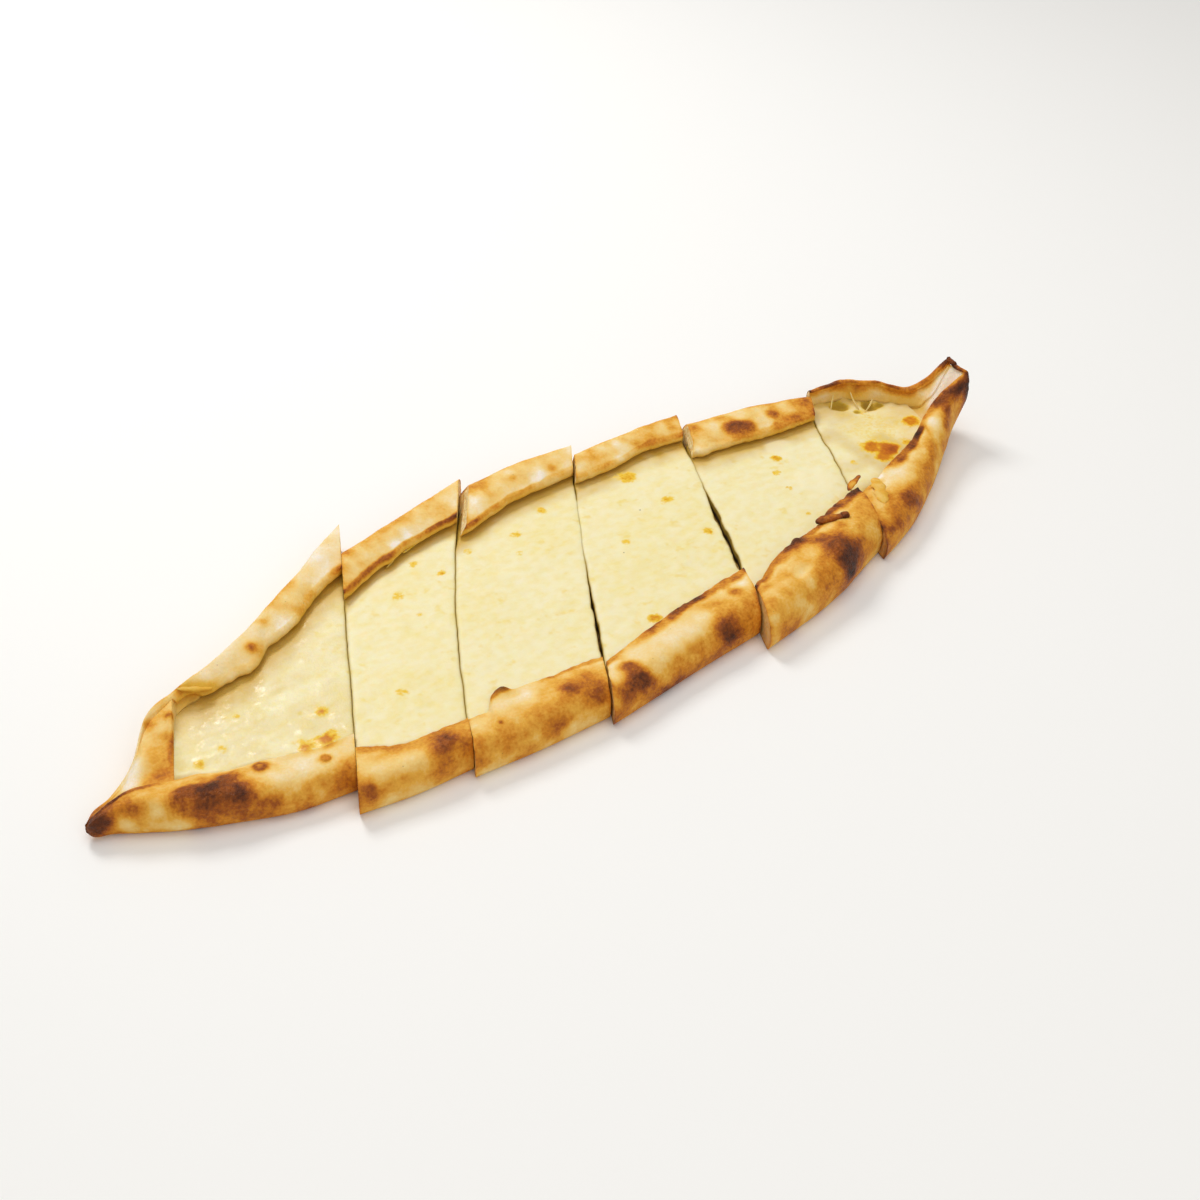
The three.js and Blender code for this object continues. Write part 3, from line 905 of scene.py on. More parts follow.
@dataclass(frozen=True)
class CheeseFinish:
    """Melted cheese: pale yellow, mottled, with golden spots, oily yellow edges and a soft gloss.

    smears, patches and flecks are how yellow each noise makes it, and bubbles how pale a bubble is. A size is
    the width of a noise's lumps in millimetres, and a span the two values between which a look grows from
    none to full. gold_mottle is how uneven golden spots are, and brown_mottle how much less brown ones are.
    sawn_shade_share and kerf_shade_share are how far a cut's face takes on sawn_shade and kerf, the painted
    shade at the mouth of the kerf and deeper in it.
    relief is the depth of the fine bumps in millimetres. They are made up of ripples and grains, with
    wet_ripples where it is wet. wet_gloss, glint_gloss and coat are how glossy wet cheese and its glints are.
    """

    name: str = "melted_cheese"
    pale: Colour = srgb(245, 235, 193)
    yellow: Colour = srgb(241, 222, 140)
    # oily is the oil's deep yellow, dark enough to stand also for the painted shade under the far fold
    oily: Colour = srgb(200, 155, 32)
    fleck: Colour = srgb(238, 210, 96)
    bubble: Colour = srgb(247, 237, 198)
    # sawn_shade and kerf are painted shade: olive at the mouth of a cut, near black deeper in the kerf
    sawn_shade: Colour = srgb(176, 142, 44)
    kerf: Colour = srgb(52, 36, 14)
    gold_colours: tuple[tuple[float, Colour], ...] = (
        (0.0, srgb(242, 217, 122)),
        (0.35, srgb(238, 198, 62)),
        (0.5, srgb(228, 174, 28)),
        (0.65, srgb(216, 138, 8)),
        (0.85, srgb(190, 100, 4)),
        (1.0, srgb(150, 70, 4)),
    )
    speck: Colour = srgb(60, 52, 26)
    speck_gap: float = 24.0
    speck_reach: float = 0.02
    speck_strength: float = 0.8
    smears: float = 0.6
    smear_size: float = 4.0
    smear_span: Span = (0.28, 0.8)
    smear_stretch: Point = (0.8, 1.1, 1)
    patches: float = 0.25
    patch_size: float = 22.0
    patch_span: Span = (0.42, 0.68)
    flecks: float = 0.6
    fleck_size: float = 7.0
    fleck_span: Span = (0.6, 0.8)
    bubbles: float = 0.55
    bubble_span: Span = (0.0, 0.6)
    gold_size: float = 1.7
    gold_mottle: float = 0.8
    gold_span: Span = (0.02, 0.3)
    brown_mottle: float = 0.5
    brown_span: Span = (0.4, 0.8)
    spot_span: Span = (0.05, 0.3)
    sawn_shade_share: float = 0.9
    sawn_shade_span: Span = (0.0, 0.35)
    kerf_shade_share: float = 0.95
    kerf_shade_span: Span = (0.35, 1.0)
    ripples: float = 0.6
    ripple_size: float = 2.4
    grains: float = 0.2
    grain_size: float = 0.8
    wet_ripples: float = 1.4
    wet_size: float = 1.6
    relief: float = 0.22
    roughness: float = 0.5
    sawn_roughness: float = 0.4
    rough_span: Span = (0.0, 0.4)
    wet_gloss: float = 0.06
    glint_gloss: float = 0.16
    glint_size: float = 3.2
    glint_span: Span = (0.5, 0.7)
    coat: float = 0.8

    def material(self) -> bpy.types.Material:
        """The cheese's material: noise mottles it, its points' fields make it oily, golden or wet.

        Returns:
            The material.
        """
        nodes = Nodes(self.name)
        gold, oil, wet, cut = (nodes.field(name) for name in ("gold", "oil", "wet", "cut"))
        smears = nodes.noise(self.smear_size, 4, self.smear_stretch).step(*self.smear_span) * self.smears
        patches = nodes.noise(self.patch_size, 3).step(*self.patch_span) * self.patches
        body = nodes.blend(smears + patches, self.pale, self.yellow)
        flecks = nodes.noise(self.fleck_size).step(*self.fleck_span) * self.flecks
        edged = nodes.blend(oil, nodes.blend(flecks, body, self.fleck), self.oily)
        bubbles = (0 - gold).step(*self.bubble_span) * self.bubbles
        swollen = nodes.blend(bubbles, edged, self.bubble)
        spotty = gold.step(*self.gold_span) * self.gold_mottle
        spotty = spotty - gold.step(*self.brown_span) * self.brown_mottle
        baked = gold + (nodes.noise(self.gold_size) - NOISE_MEAN) * spotty
        browned = nodes.blend(baked.step(*self.spot_span), swollen, nodes.ramp(baked, self.gold_colours))
        specks = nodes.dots(self.speck_gap, self.speck_reach) * self.speck_strength
        dotted = nodes.blend(specks, browned, self.speck)
        # painted shade of the kerf on a cut's face and on the top beside a cut
        sawn_shade = nodes.blend(cut.step(*self.sawn_shade_span) * self.sawn_shade_share, dotted, self.sawn_shade)
        colour = nodes.blend(cut.step(*self.kerf_shade_span) * self.kerf_shade_share, sawn_shade, self.kerf)
        glints = nodes.noise(self.glint_size).step(*self.glint_span)
        gloss = wet * (self.wet_gloss + glints * self.glint_gloss)
        dull = cut.step(*self.rough_span) * self.sawn_roughness
        fine = nodes.noise(self.ripple_size, 3) * self.ripples + nodes.noise(self.grain_size) * self.grains
        height = fine + nodes.noise(self.wet_size, 3) * wet * self.wet_ripples
        return nodes.surface({
            "Base Color": colour,
            "Roughness": self.roughness - gloss + dull,
            "Normal": nodes.bump(height, self.relief),
            "Specular IOR Level": 0.25,
            "Coat Weight": wet * glints * self.coat,
            "Coat Roughness": 0.22,
            "Subsurface Weight": 0.3,
            "Subsurface Radius": (1.0, 0.75, 0.3),
            "Subsurface Scale": 2.5 * MM,
        })


@dataclass
class Crust:
    """A slice's dough: base, outer walls and folded rims in one closed piece.

    undulation, dimple and pucker are how far noise moves its skin, from broad to fine, and scorched_pucker
    how many times more it puckers where it is scorched. lip_round is how far a lip bulges, as a share of its
    thickness, and crumb_depth how deep the pores at a cut are. patchy, with a share broad_patch of the broad
    noise, and mottled are how unevenly it is browned. Edges along a cut are browned by edge_bake over
    edge_reach. near_bake and near_crumb are how brown a cut face is on the boat's near side and how much of
    its crumb shows there, and fade over near_reach; crumb starts crumb_from to crumb_to under the skin.
    base_bake, floor_bake and lining_bake are the browning of the base, the trough's floor and the fold's
    underside, and lip_fade is the share of the lip's that its edge has. lip_turn is where, through a lip's
    thickness, the skin's browning turns into the lining's, and lining_turn where, along the fold's underside,
    the lip's does. stain_and_shade is how much the lining turns golden from stain_foot to stain_top above the
    cheese, partly where cheese has stained it and partly as painted shade under the fold. Edges over
    sharp_angle degrees stay sharp.
    """

    slice: Slice
    undulation: float = 0.55
    dimple: float = 0.22
    pucker: float = 0.06
    scorched_pucker: float = 3.0
    crumb_depth: float = 0.5
    crumb_from: float = 0.3
    crumb_to: float = 1.2
    lip_round: float = 0.42
    patchy: float = 0.3
    broad_patch: float = 0.4
    mottled: float = 0.1
    edge_bake: float = 0.2
    edge_reach: float = 0.8
    near_bake: float = 0.5
    near_crumb: float = 0.4
    near_reach: float = 30.0
    base_bake: float = 0.5
    floor_bake: float = 0.02
    lining_bake: float = 0.06
    lip_fade: float = 0.6
    lip_turn: Span = (0.1, 0.5)
    lining_turn: Span = (0.05, 0.5)
    stain_and_shade: float = 0.7
    stain_foot: float = 1.0
    stain_top: float = 7.0
    sharp_angle: float = 55.0

    def stations(self) -> Array:
        """Shares along the slice where sections are taken, closer together at the trough's end wall."""
        count = int(self.slice.length / CRUST_SPACING)
        shares = np.linspace(0, 1, count + 1)
        if self.slice.trough_start > 0:
            wall = self.slice.trough_start + np.linspace(*END_WALL)
            apart = np.abs(shares[:, None] - wall[None]).min(axis=1) > END_WALL_GAP
            shares = np.sort(np.concatenate([shares[apart], wall]))
        return shares

    def bake_of_rim(self, rim: Rim, sizes: RimSizes, share: Array, girth: Array, inset: Array) -> Array:
        """How brown a rim's outer skin is before its marks: the top's bake, turning into the side's round
        the crown, with a band of the lip's bake along the lip.

        Args:
            rim: the rim.
            sizes: its sizes at the stations.
            share: the stations.
            girth: places round the skin.
            inset: distances in from the outer edge.

        Returns:
            The bake at each station and girth.
        """
        top, side, lip = (track.at(share)[:, None] for track in (rim.top_bake, rim.side_bake, rim.lip_bake))
        body = mix(top, side, smooth(girth, SIDE_FROM, SIDE_TO))
        plane = np.full_like(share, rim.side.value * BAND_PLANE)
        row = np.stack([share * self.slice.length, plane, np.zeros_like(share)], axis=-1)
        wide = rim.band * (1 + BAND_WIDTH.at(row) + BAND_FRAY.at(row))[:, None]
        band = 1 - smooth((sizes.width - inset) / wide, *BAND_FADE)
        return mix(body, np.maximum(body, lip), band)

    def build(self) -> bpy.types.Object:
        """Works out the crust's six sheets and joins them.

        The outer skin runs from the near lip round underneath to the far lip, the inner skin lies inside it
        point for point, and the two lips and the two cut faces close the space between them.

        Returns:
            The crust's object.
        """
        slice_ = self.slice
        share = self.stations()
        column = share[:, None]
        lift, floor = slice_.lift.at(share)[:, None], slice_.floor.at(share)[:, None]
        near, far = slice_.near.sizes(share, slice_.length), slice_.far.sizes(share, slice_.length)
        girth = np.concatenate([
            np.arange(LIP_COLUMNS) / LIP_COLUMNS * CROWN_GIRTH,
            mix(CROWN_GIRTH, BULGE_GIRTH, np.arange(ROLL_COLUMNS) / ROLL_COLUMNS),
            mix(BULGE_GIRTH, 1, np.arange(TOE_COLUMNS + 1) / TOE_COLUMNS),
        ])[None]
        outline_y, outline_z, bakes, loose = [], [], [], []
        for rim, sizes in ((slice_.near, near), (slice_.far, far)):
            inset, height = sizes.outer(girth, lift)
            outline_y.append(sizes.across(inset))
            outline_z.append(height)
            bakes.append(self.bake_of_rim(rim, sizes, share, girth, inset))
            loose.append(np.broadcast_to(1 - smooth(girth, BULGE_GIRTH, 1), inset.shape))
        across = (np.arange(BASE_COLUMNS) + 1)[None] / (BASE_COLUMNS + 1)
        base_y = mix(outline_y[0][:, -1:], outline_y[1][:, -1:], across)
        flat = np.ones_like(base_y)
        y = np.hstack([outline_y[0], base_y, outline_y[1][:, ::-1]])
        z = np.hstack([outline_z[0], lift * flat, outline_z[1][:, ::-1]])
        bake = np.hstack([bakes[0], self.base_bake * flat, bakes[1][:, ::-1]])
        free = np.hstack([loose[0], 0 * flat, loose[1][:, ::-1]])
        points = slice_.place(column, y, z)
        broad = DOUGH_SWELL.at(points)
        bake = bake + self.patchy * (BAKE_PATCH.at(points) + self.broad_patch * broad)
        from_cut = np.minimum(column, 1 - column) * slice_.length
        bake = bake + self.edge_bake * np.exp(-from_cut / self.edge_reach)
        bake, rise, oil = self.marked(points, bake + self.mottled * BAKE_FLECK.at(points))
        swell = self.undulation * broad + self.dimple * DOUGH_DIMPLE.at(points)
        scorched = 1 + self.scorched_pucker * smooth(bake, *SCORCHED)
        swell = swell + self.pucker * DOUGH_PUCKER.at(points) * scorched + rise
        step_y, step_z = np.gradient(y, axis=1), np.gradient(z, axis=1)
        step = np.hypot(step_y, step_z) + TINY
        y = y + swell * free * step_z / step
        z = np.maximum(z - swell * free * step_y / step, lift)
        outer = slice_.place(column, y, z)
        inner, inner_bake, inner_oil = self.inner_skin(share, near, far, lift, floor)
        return self.join(outer, {"bake": bake, "oil": oil}, inner, {"bake": inner_bake, "oil": inner_oil})

    def marked(self, points: Array, bake: Array) -> tuple[Array, Array, Array]:
        """Puts the slice's marks on a skin, one after another: each counts 1 / (1 + r^crisp), where r is the
        distance in its radii, made a little uneven and less so for a crisp mark.

        Args:
            points: places on the skin.
            bake: how brown it is without the marks.

        Returns:
            How brown each point is, how far it rises and how oily it is.
        """
        rise, oil = np.zeros(points.shape[:-1]), np.zeros(points.shape[:-1])
        uneven = 1 + MARK_EDGE.at(points) + MARK_FRAY.at(points)
        for mark in self.slice.marks:
            reach = mark.reach(points) * uneven ** (Mark.crisp / mark.crisp)
            share = 1 / (1 + reach**mark.crisp)
            bake = mix(bake, mark.bake, share)
            rise = rise + mark.rise * np.exp(-reach**2)
            oil = np.maximum(oil, mark.oil * share)
        return bake, rise, oil

    def inner_skin(self, share: Array, near: RimSizes, far: RimSizes,
                   lift: Array, floor: Array) -> tuple[Array, Array, Array]:
        """The trough's skin, or left of the trough's end the flap that is folded shut over it.

        Args:
            share: the stations.
            near: the near rim's sizes.
            far: the far rim's sizes.
            lift: height of the underside.
            floor: height of the trough's floor.

        Returns:
            Points of the skin, how brown they are and how oily.
        """
        slice_ = self.slice
        near_wall, far_wall = near.across(near.wall), far.across(far.wall)
        floor_width = far_wall - near_wall
        near_inset, near_height = near.inner(floor, floor_width)
        far_inset, far_height = far.inner(floor, floor_width)
        across = mix(FLOOR_EDGE, 1 - FLOOR_EDGE, (np.arange(BASE_COLUMNS) + 1)[None] / (BASE_COLUMNS + 1))
        base_y = mix(near_wall, far_wall, across)
        y = np.hstack([near.across(near_inset), base_y, far.across(far_inset)[:, ::-1]])
        z = np.hstack([near_height, floor * np.ones_like(base_y), far_height[:, ::-1]])
        lips = [rim.lip_bake.at(share)[:, None] for rim in (slice_.near, slice_.far)]
        under = np.clip(np.arange(near_inset.shape[1])[None] / LIP_COLUMNS, 0, 1)
        turned = smooth(under, *self.lining_turn)
        fades = [mix(lip * self.lip_fade, self.lining_bake, turned) for lip in lips]
        bake = np.hstack([fades[0], self.floor_bake * np.ones_like(base_y), fades[1][:, ::-1]])
        if slice_.trough_start > 0:
            along = np.linspace(0, 1, y.shape[1])[None]
            step = np.minimum(SEAM_STEP, SEAM_SHARE * (near.lip - lift))
            flap_y = mix(near.across(near.width), far.across(far.width), along)
            flap_z = mix(near.lip - step, far.lip, smooth(along, 0, 1))
            past_roll = (share - slice_.trough_start + FLAP_ROLL_BACK) / FLAP_ROLL_WIDTH
            roll = np.exp(-(past_roll**2))[:, None]
            dent = FLAP_DENT.at(slice_.place(share[:, None], flap_y, flap_z))
            flap_z = flap_z + (FLAP_ROLL * roll + dent) * np.sin(math.pi * along)
            open_ = smooth(share, slice_.trough_start - FLAP_EDGE, slice_.trough_start)[:, None]
            flap_bake = FLAP_BAKE - FLAP_ROLL_PALE * roll
            y, z, bake = mix(flap_y, y, open_), mix(flap_z, z, open_), mix(flap_bake, bake, open_)
        points = slice_.place(share[:, None], y, z)
        bake, _, oil = self.marked(points, bake + LINING_FLECK.at(points))
        # the lining turns golden just above the cheese: cheese stain, and painted shade under the fold
        stain_top = CHEESE_TOP + self.stain_top + STAIN_EDGE.at(points)
        stain_and_shade = self.stain_and_shade * (1 - smooth(z, CHEESE_TOP + self.stain_foot, stain_top))
        return points, bake, np.maximum(oil, stain_and_shade * (1 if slice_.trough_start == 0 else open_))

    def join(self, outer: Array, skin: dict[str, Array],
             inner: Array, lining: dict[str, Array]) -> bpy.types.Object:
        """Closes the space between the two skins with the lips and the cut faces, and adds the torn strips.

        Each lip and face runs straight from skin to skin. A lip bulges by a sine between them, less at its
        ends, and a face's pores sink by noise times a sine.

        Args:
            outer: points of the outer skin.
            skin: fields of the outer skin.
            inner: points of the inner skin, pair by pair with the outer ones.
            lining: fields of the inner skin.

        Returns:
            The crust's object.
        """
        depth = np.linspace(0, 1, DEPTH_ROWS + 1)
        rows = np.arange(len(outer))
        held = np.clip(np.minimum(rows, rows[::-1]) / LIP_END_ROWS, 0, 1)[:, None]
        shell = Shell()
        shell.sheet(outer, True, crumb=0.0, **skin)
        shell.sheet(inner, False, crumb=0.0, **lining)
        for column, flipped, inward in ((0, False, 1), (-1, True, -1)):
            lip = mix(outer[:, column, None], inner[:, column, None], depth[None, :, None])
            thick = np.linalg.norm(outer[:, column] - inner[:, column], axis=-1)[:, None]
            bulge = self.lip_round * np.minimum(thick, LIP_THICKNESS) * held
            lip[..., 1] += inward * bulge * np.sin(math.pi * depth)
            over = smooth(depth, *self.lip_turn)[None]
            fields = {name: mix(values[:, column, None], lining[name][:, column, None], over)
                      for name, values in skin.items()}
            shell.sheet(lip, flipped, crumb=0.0, **fields)
        left, right = self.slice.ends
        for row, flipped, into, end in ((0, True, 1, left), (-1, False, -1, right)):
            face = mix(outer[row, :, None], inner[row, :, None], depth[None, :, None])
            below = np.linalg.norm(outer[row] - inner[row], axis=-1)[:, None] * depth
            pores = np.abs(CRUMB_HOLE.at(face)) + np.abs(CRUMB_PORE.at(face))
            face[1:-1, :, 0] += into * self.crumb_depth * (pores * np.sin(math.pi * depth))[1:-1]
            fields = {name: mix(values[row, :, None], lining[name][row, :, None], depth[None])
                      for name, values in skin.items()}
            beyond = smooth(face[..., 1], 0, self.near_reach)
            fields["bake"] = np.maximum(fields["bake"], self.near_bake * (1 - beyond))
            crumb = smooth(below, self.crumb_from, self.crumb_to) * mix(self.near_crumb, 1, beyond)
            shell.sheet(face, flipped, crumb=0.0 if end.tip else crumb, **fields)
        for strip in self.slice.strips:
            points = strip.surface()
            bake = strip.baked() + STRIP_FLECK.at(points)
            shell.sheet(points, False, bake=bake, crumb=0.0, oil=strip.oil)
        made = shell.to_object(f"baked_{self.slice.name}")
        made.data.set_sharp_from_angle(angle=math.radians(self.sharp_angle))
        return made

    def dress(self, piece: bpy.types.Object, material: bpy.types.Material) -> None:
        """Gives the crust its material and ties it to the frame."""
        piece.data.materials.append(material)
        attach(piece, BODY)
        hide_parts(f"{self.slice.name}_crust")


@dataclass
class Cheese:
    """A slice's layer of melted cheese, which fills the trough and reaches in under both folds.

    swell and shred are how far noise lifts its top, broadly and in the ridges of melted shreds, which stand
    higher by wet_shred in wet cheese and are drawn out by shred_stretch. Along a cut the top turns down by
    edge_round over edge_reach and takes on painted shade of the kerf, by painted_edge_shade over shade_reach
    and in full where the kerf is full_gape wide. Under a fold it is level, and from open_reach outside it as
    lively as elsewhere. far_sag is how far it sags along the far fold and flap_brim how high it stands at the
    flap. Each reach is a distance in millimetres, and each mean the middle of a noise. near_oil is how
    yellow it is along the near fold, over the distances near_oil_span from it, and far_oil_and_shade how
    yellow it is along the far fold, with oil and painted shade. side_oil_and_shade is how oily yellow its
    sides and cut faces are, which also warms the painted shade in the kerf. string_oil and string_wet are
    the strings'. A cut face takes on painted shade over the shares shade_span of its depth. thinnest is its
    least thickness, and no_cut stands for the distance to a cut that isn't there. Edges over sharp_angle
    degrees stay sharp.
    """

    slice: Slice
    side_rows: int = 6
    edge_rows: tuple[float, ...] = (0.15, 0.35, 0.6)
    swell: float = 0.35
    shred: float = 0.16
    wet_shred: float = 2.0
    shred_stretch: Point = (0.6, 1.1, 1)
    edge_round: float = 0.5
    edge_reach: float = 0.9
    painted_edge_shade: float = 0.35
    shade_reach: float = 0.6
    full_gape: float = 0.15
    under_reach: float = 1.5
    open_reach: float = 4.0
    far_sag: float = 0.7
    sag_reach: float = 7.0
    climb_mean: float = 0.6
    climb_reach: float = 2.4
    brim_reach: float = 5.0
    flap_brim: float = 1.6
    flap_reach: float = 2.0
    thinnest: float = 0.2
    near_oil: float = 0.6
    near_oil_span: Span = (-0.5, 3.0)
    far_oil_and_shade: float = 0.9
    oily_mean: float = 0.6
    side_oil_and_shade: float = 0.8
    shade_span: Span = (0.2, 0.7)
    string_oil: float = 0.6
    string_wet: float = 0.3
    no_cut: float = 1e3
    sharp_angle: float = 60.0

    def stations(self, start: float) -> Array:
        """Shares along the slice where rows of points lie, closer together at the cheese's two ends.

        Args:
            start: the share where the cheese starts.

        Returns:
            The shares, rising.
        """
        end = self.slice.cheese_end
        count = int(self.slice.length * (end - start) / CHEESE_SPACING)
        close = np.array(self.edge_rows) / self.slice.length
        return np.unique(np.concatenate([np.linspace(start, end, count + 1), start + close, end - close]))

    def build(self) -> bpy.types.Object:
        """Works out the cheese's six sheets and joins them.

        The top is a low dome with broad swells, the ridges of melted shreds and its bubbles; it turns down at
        the cuts. The sides and the underside follow the trough.

        Returns:
            The cheese's object.
        """
        slice_ = self.slice
        start = slice_.trough_start - CHEESE_UNDER_FLAP if slice_.trough_start > 0 else 0.0
        share = self.stations(start)
        near, far = slice_.near.sizes(share, slice_.length), slice_.far.sizes(share, slice_.length)
        floor = slice_.floor.at(share)[:, None] + CLEARANCE
        low = near.across(near.wall + CLEARANCE)
        high = far.across(far.wall + CLEARANCE)
        columns = int((high - low).max() / CHEESE_SPACING)
        across = np.linspace(0, 1, columns + 1)[None]
        y = mix(low, high, across)
        flat = slice_.place(share[:, None], y, CHEESE_TOP)
        from_near, from_far = y - near.across(near.width), far.across(far.width) - y
        open_ = smooth(np.minimum(from_near, from_far), -self.under_reach, self.open_reach)
        shreds = (1 + self.wet_shred * slice_.wet) * CHEESE_SHRED.at(flat * np.array(self.shred_stretch))
        swell = self.swell * CHEESE_SWELL.at(flat) + self.shred * shreds
        rise, gold, oil, pocket_shade = self.spotted(flat)
        left = (share - start)[:, None] * slice_.length if slice_.trough_start == 0 else self.no_cut
        right = (1 - share)[:, None] * slice_.length
        turn = self.edge_round * np.exp(-np.minimum(left, right) / self.edge_reach)
        # painted shade of the kerf on the top beside each cut, fuller where the kerf is wider
        cut_shades = [np.minimum(1, end.gape.at(y) / self.full_gape) * np.exp(-apart / self.shade_reach)
                 for end, apart in zip(slice_.ends, (left, right))]
        cut_shade = self.painted_edge_shade * np.maximum(*cut_shades)
        sag = self.far_sag * (1 - smooth(from_far, 0, self.sag_reach))
        creep = self.climb_mean + CHEESE_CLIMB.at(flat)
        climb = slice_.climb * np.exp(-(high - y) / self.climb_reach) * creep
        brim = slice_.brim * (1 - smooth(from_near, 0, self.brim_reach))
        lifted = CHEESE_DOME * np.sin(math.pi * across) ** 2 + swell + rise + brim
        lifted = lifted - (sag if slice_.climb == 0 else 0)
        if slice_.trough_start > 0:
            past_flap = (share - start)[:, None] * slice_.length
            lifted = lifted + self.flap_brim * np.exp(-past_flap / self.flap_reach)
        top = np.maximum(CHEESE_TOP + open_ * (lifted + climb) - turn, floor + self.thinnest)
        stray = EDGE_STRAY.at(flat)
        near_edge = 1 - smooth(from_near + stray, *self.near_oil_span)
        # painted shade with oil: yellower towards the far fold
        far_fold_oil_and_shade = 1 - smooth(from_far + stray, 0, slice_.far_oil_and_shade)
        patches = slice_.oily * (self.oily_mean + OIL_PATCH.at(flat))
        # the oil field carries oil and the painted shade along the far fold
        oil = np.maximum.reduce([oil, self.near_oil * near_edge, self.far_oil_and_shade * far_fold_oil_and_shade, patches])
        # the cut field carries painted shade: of the kerfs along the cuts and of the pockets
        cut = np.maximum(pocket_shade, cut_shade)
        fields = {"gold": gold, "oil": np.clip(oil, 0, 1), "wet": slice_.wet, "cut": cut}
        return self.join(share, y, top, floor, fields)

    def spotted(self, points: Array) -> tuple[Array, Array, Array, Array]:
        """What the slice's spots add at each point of the cheese's top: each counts 1 / (1 + r^crisp), where
        r is the distance in its radii, made uneven unless it is a bubble.

        Args:
            points: places on the flat top.

        Returns:
            How far each point rises, how golden it is, how oily and how much painted pocket shade it has.
        """
        rise, gold, oil, pocket_shade = (np.zeros(points.shape[:-1]) for _ in range(4))
        uneven = SPOT_EDGE.at(points)
        for spot in self.slice.spots:
            away = points[..., :2] - (np.array(spot.at) - MIDDLE[:2])
            reach = np.linalg.norm(away, axis=-1) / spot.radius * (1 + uneven * (spot.gold > 0))
            share = 1 / (1 + reach**spot.crisp)
            rise = rise + spot.rise * share
            gold = mix(gold, spot.gold, share)
            oil = np.maximum(oil, spot.oil * share)
            pocket_shade = np.maximum(pocket_shade, spot.pocket_shade * share)
        return rise, gold, oil, pocket_shade

    def join(self, share: Array, y: Array, top: Array, floor: Array,
             fields: dict[str, Array]) -> bpy.types.Object:
        """Closes the cheese between its top and its underside by straight sides and ends, and adds strings.

        Args:
            share: the stations.
            y: places across, by station.
            top: heights of the top.
            floor: height of the underside at each station.
            fields: fields of the top.

        Returns:
            The cheese's object.
        """
        place = self.slice.place
        depth = np.linspace(0, 1, self.side_rows + 1)
        low = floor * np.ones_like(y)
        # the oily yellow of the sides and cut faces also warms the painted shade in the kerf
        plain = {"gold": 0.0, "oil": self.side_oil_and_shade, "wet": 0.0, "cut": 0.0}
        # a cut face darkens with depth as painted shade of the kerf
        sawn_shade = plain | {"cut": mix(self.painted_edge_shade, 1, smooth(depth, *self.shade_span))[None]}
        shell = Shell()
        shell.sheet(place(share[:, None], y, top), False, **fields)
        shell.sheet(place(share[:, None], y, low), True, **plain)
        for column, flipped in ((0, False), (-1, True)):
            heights = mix(top[:, column, None], low[:, column, None], depth[None])
            shell.sheet(place(share[:, None], y[:, column, None], heights), flipped, **plain)
        for row, flipped in ((0, True), (-1, False)):
            heights = mix(top[row, :, None], low[row, :, None], depth[None])
            whole = row == 0 and self.slice.trough_start > 0
            shell.sheet(place(share[row], y[row, :, None], heights), flipped, **(plain if whole else sawn_shade))
        for string in self.slice.strings:
            looks = {"gold": string.bake, "oil": self.string_oil, "wet": self.string_wet, "cut": 0.0}
            shell.sheet(string.surface(), False, **looks)
        made = shell.to_object(f"melted_{self.slice.name}")
        made.data.set_sharp_from_angle(angle=math.radians(self.sharp_angle))
        return made

    def dress(self, piece: bpy.types.Object, material: bpy.types.Material) -> None:
        """Gives the cheese its material and ties it to the frame."""
        piece.data.materials.append(material)
        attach(piece, BODY)
        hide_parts(f"{self.slice.name}_cheese")


# Every knife cut and both tips
LEFT_TIP = Cut(-239.95, 0.5, 0, level(0), wander=0, tip=True)
CUT_1 = Cut(-123.6, 0.563, 0, level(0.2))
CUT_2 = Cut(-70.5, 0.64, 0.00097, level(0.18), keyed((-90, 0), (42, 0), (52, 6), (90, 6)))
CUT_3 = Cut(
    -0.5, 0.64, 0.0003,
    keyed((-90, 0.9), (-50, 1.3), (-30, 1.5), (-4, 0.25), (20, 0.07), (40, 0.07), (50, 0.5), (90, 0.7)),
    keyed((-90, 0), (42, 0), (52, 1), (90, 1)),
)
CUT_4 = Cut(
    75.2, 0.5, 0,
    keyed((-90, 1.5), (-50, 1.2), (-25, 3.1), (-6, 2.9), (3, 1.6), (10, 0.4), (20, 0.1), (32, 0.1), (44, 1),
          (90, 1.2)),
    keyed((-90, 0), (32, 0), (42, 2.5), (90, 2.5)),
)
CUT_5 = Cut(152.3, 0.53, 0.0012, level(0.22), wander=0.55)
RIGHT_TIP = Cut(232, 0, 0, keyed((-90, 0), (-16, 0), (-12, 2), (-6, 3.4), (-1, 2.4), (3, 0), (90, 0)),
                wander=0, tip=True)

# Where the crowns sit on most rims, and the upright far wall's top at the right end, which is crown and lip
NEAR_CREST = even(0.45, 0.45)
FAR_CREST = even(0.36, 0.36)
FAR_WALL_TOP = keyed((0, 18.8), (0.19, 19.2), (0.37, 19.8), (0.49, 20.2), (0.62, 20.2), (0.71, 19.2),
                     (0.776, 18.8), (0.85, 22), (0.9, 26.5), (0.95, 32.3), (1, 38.5))

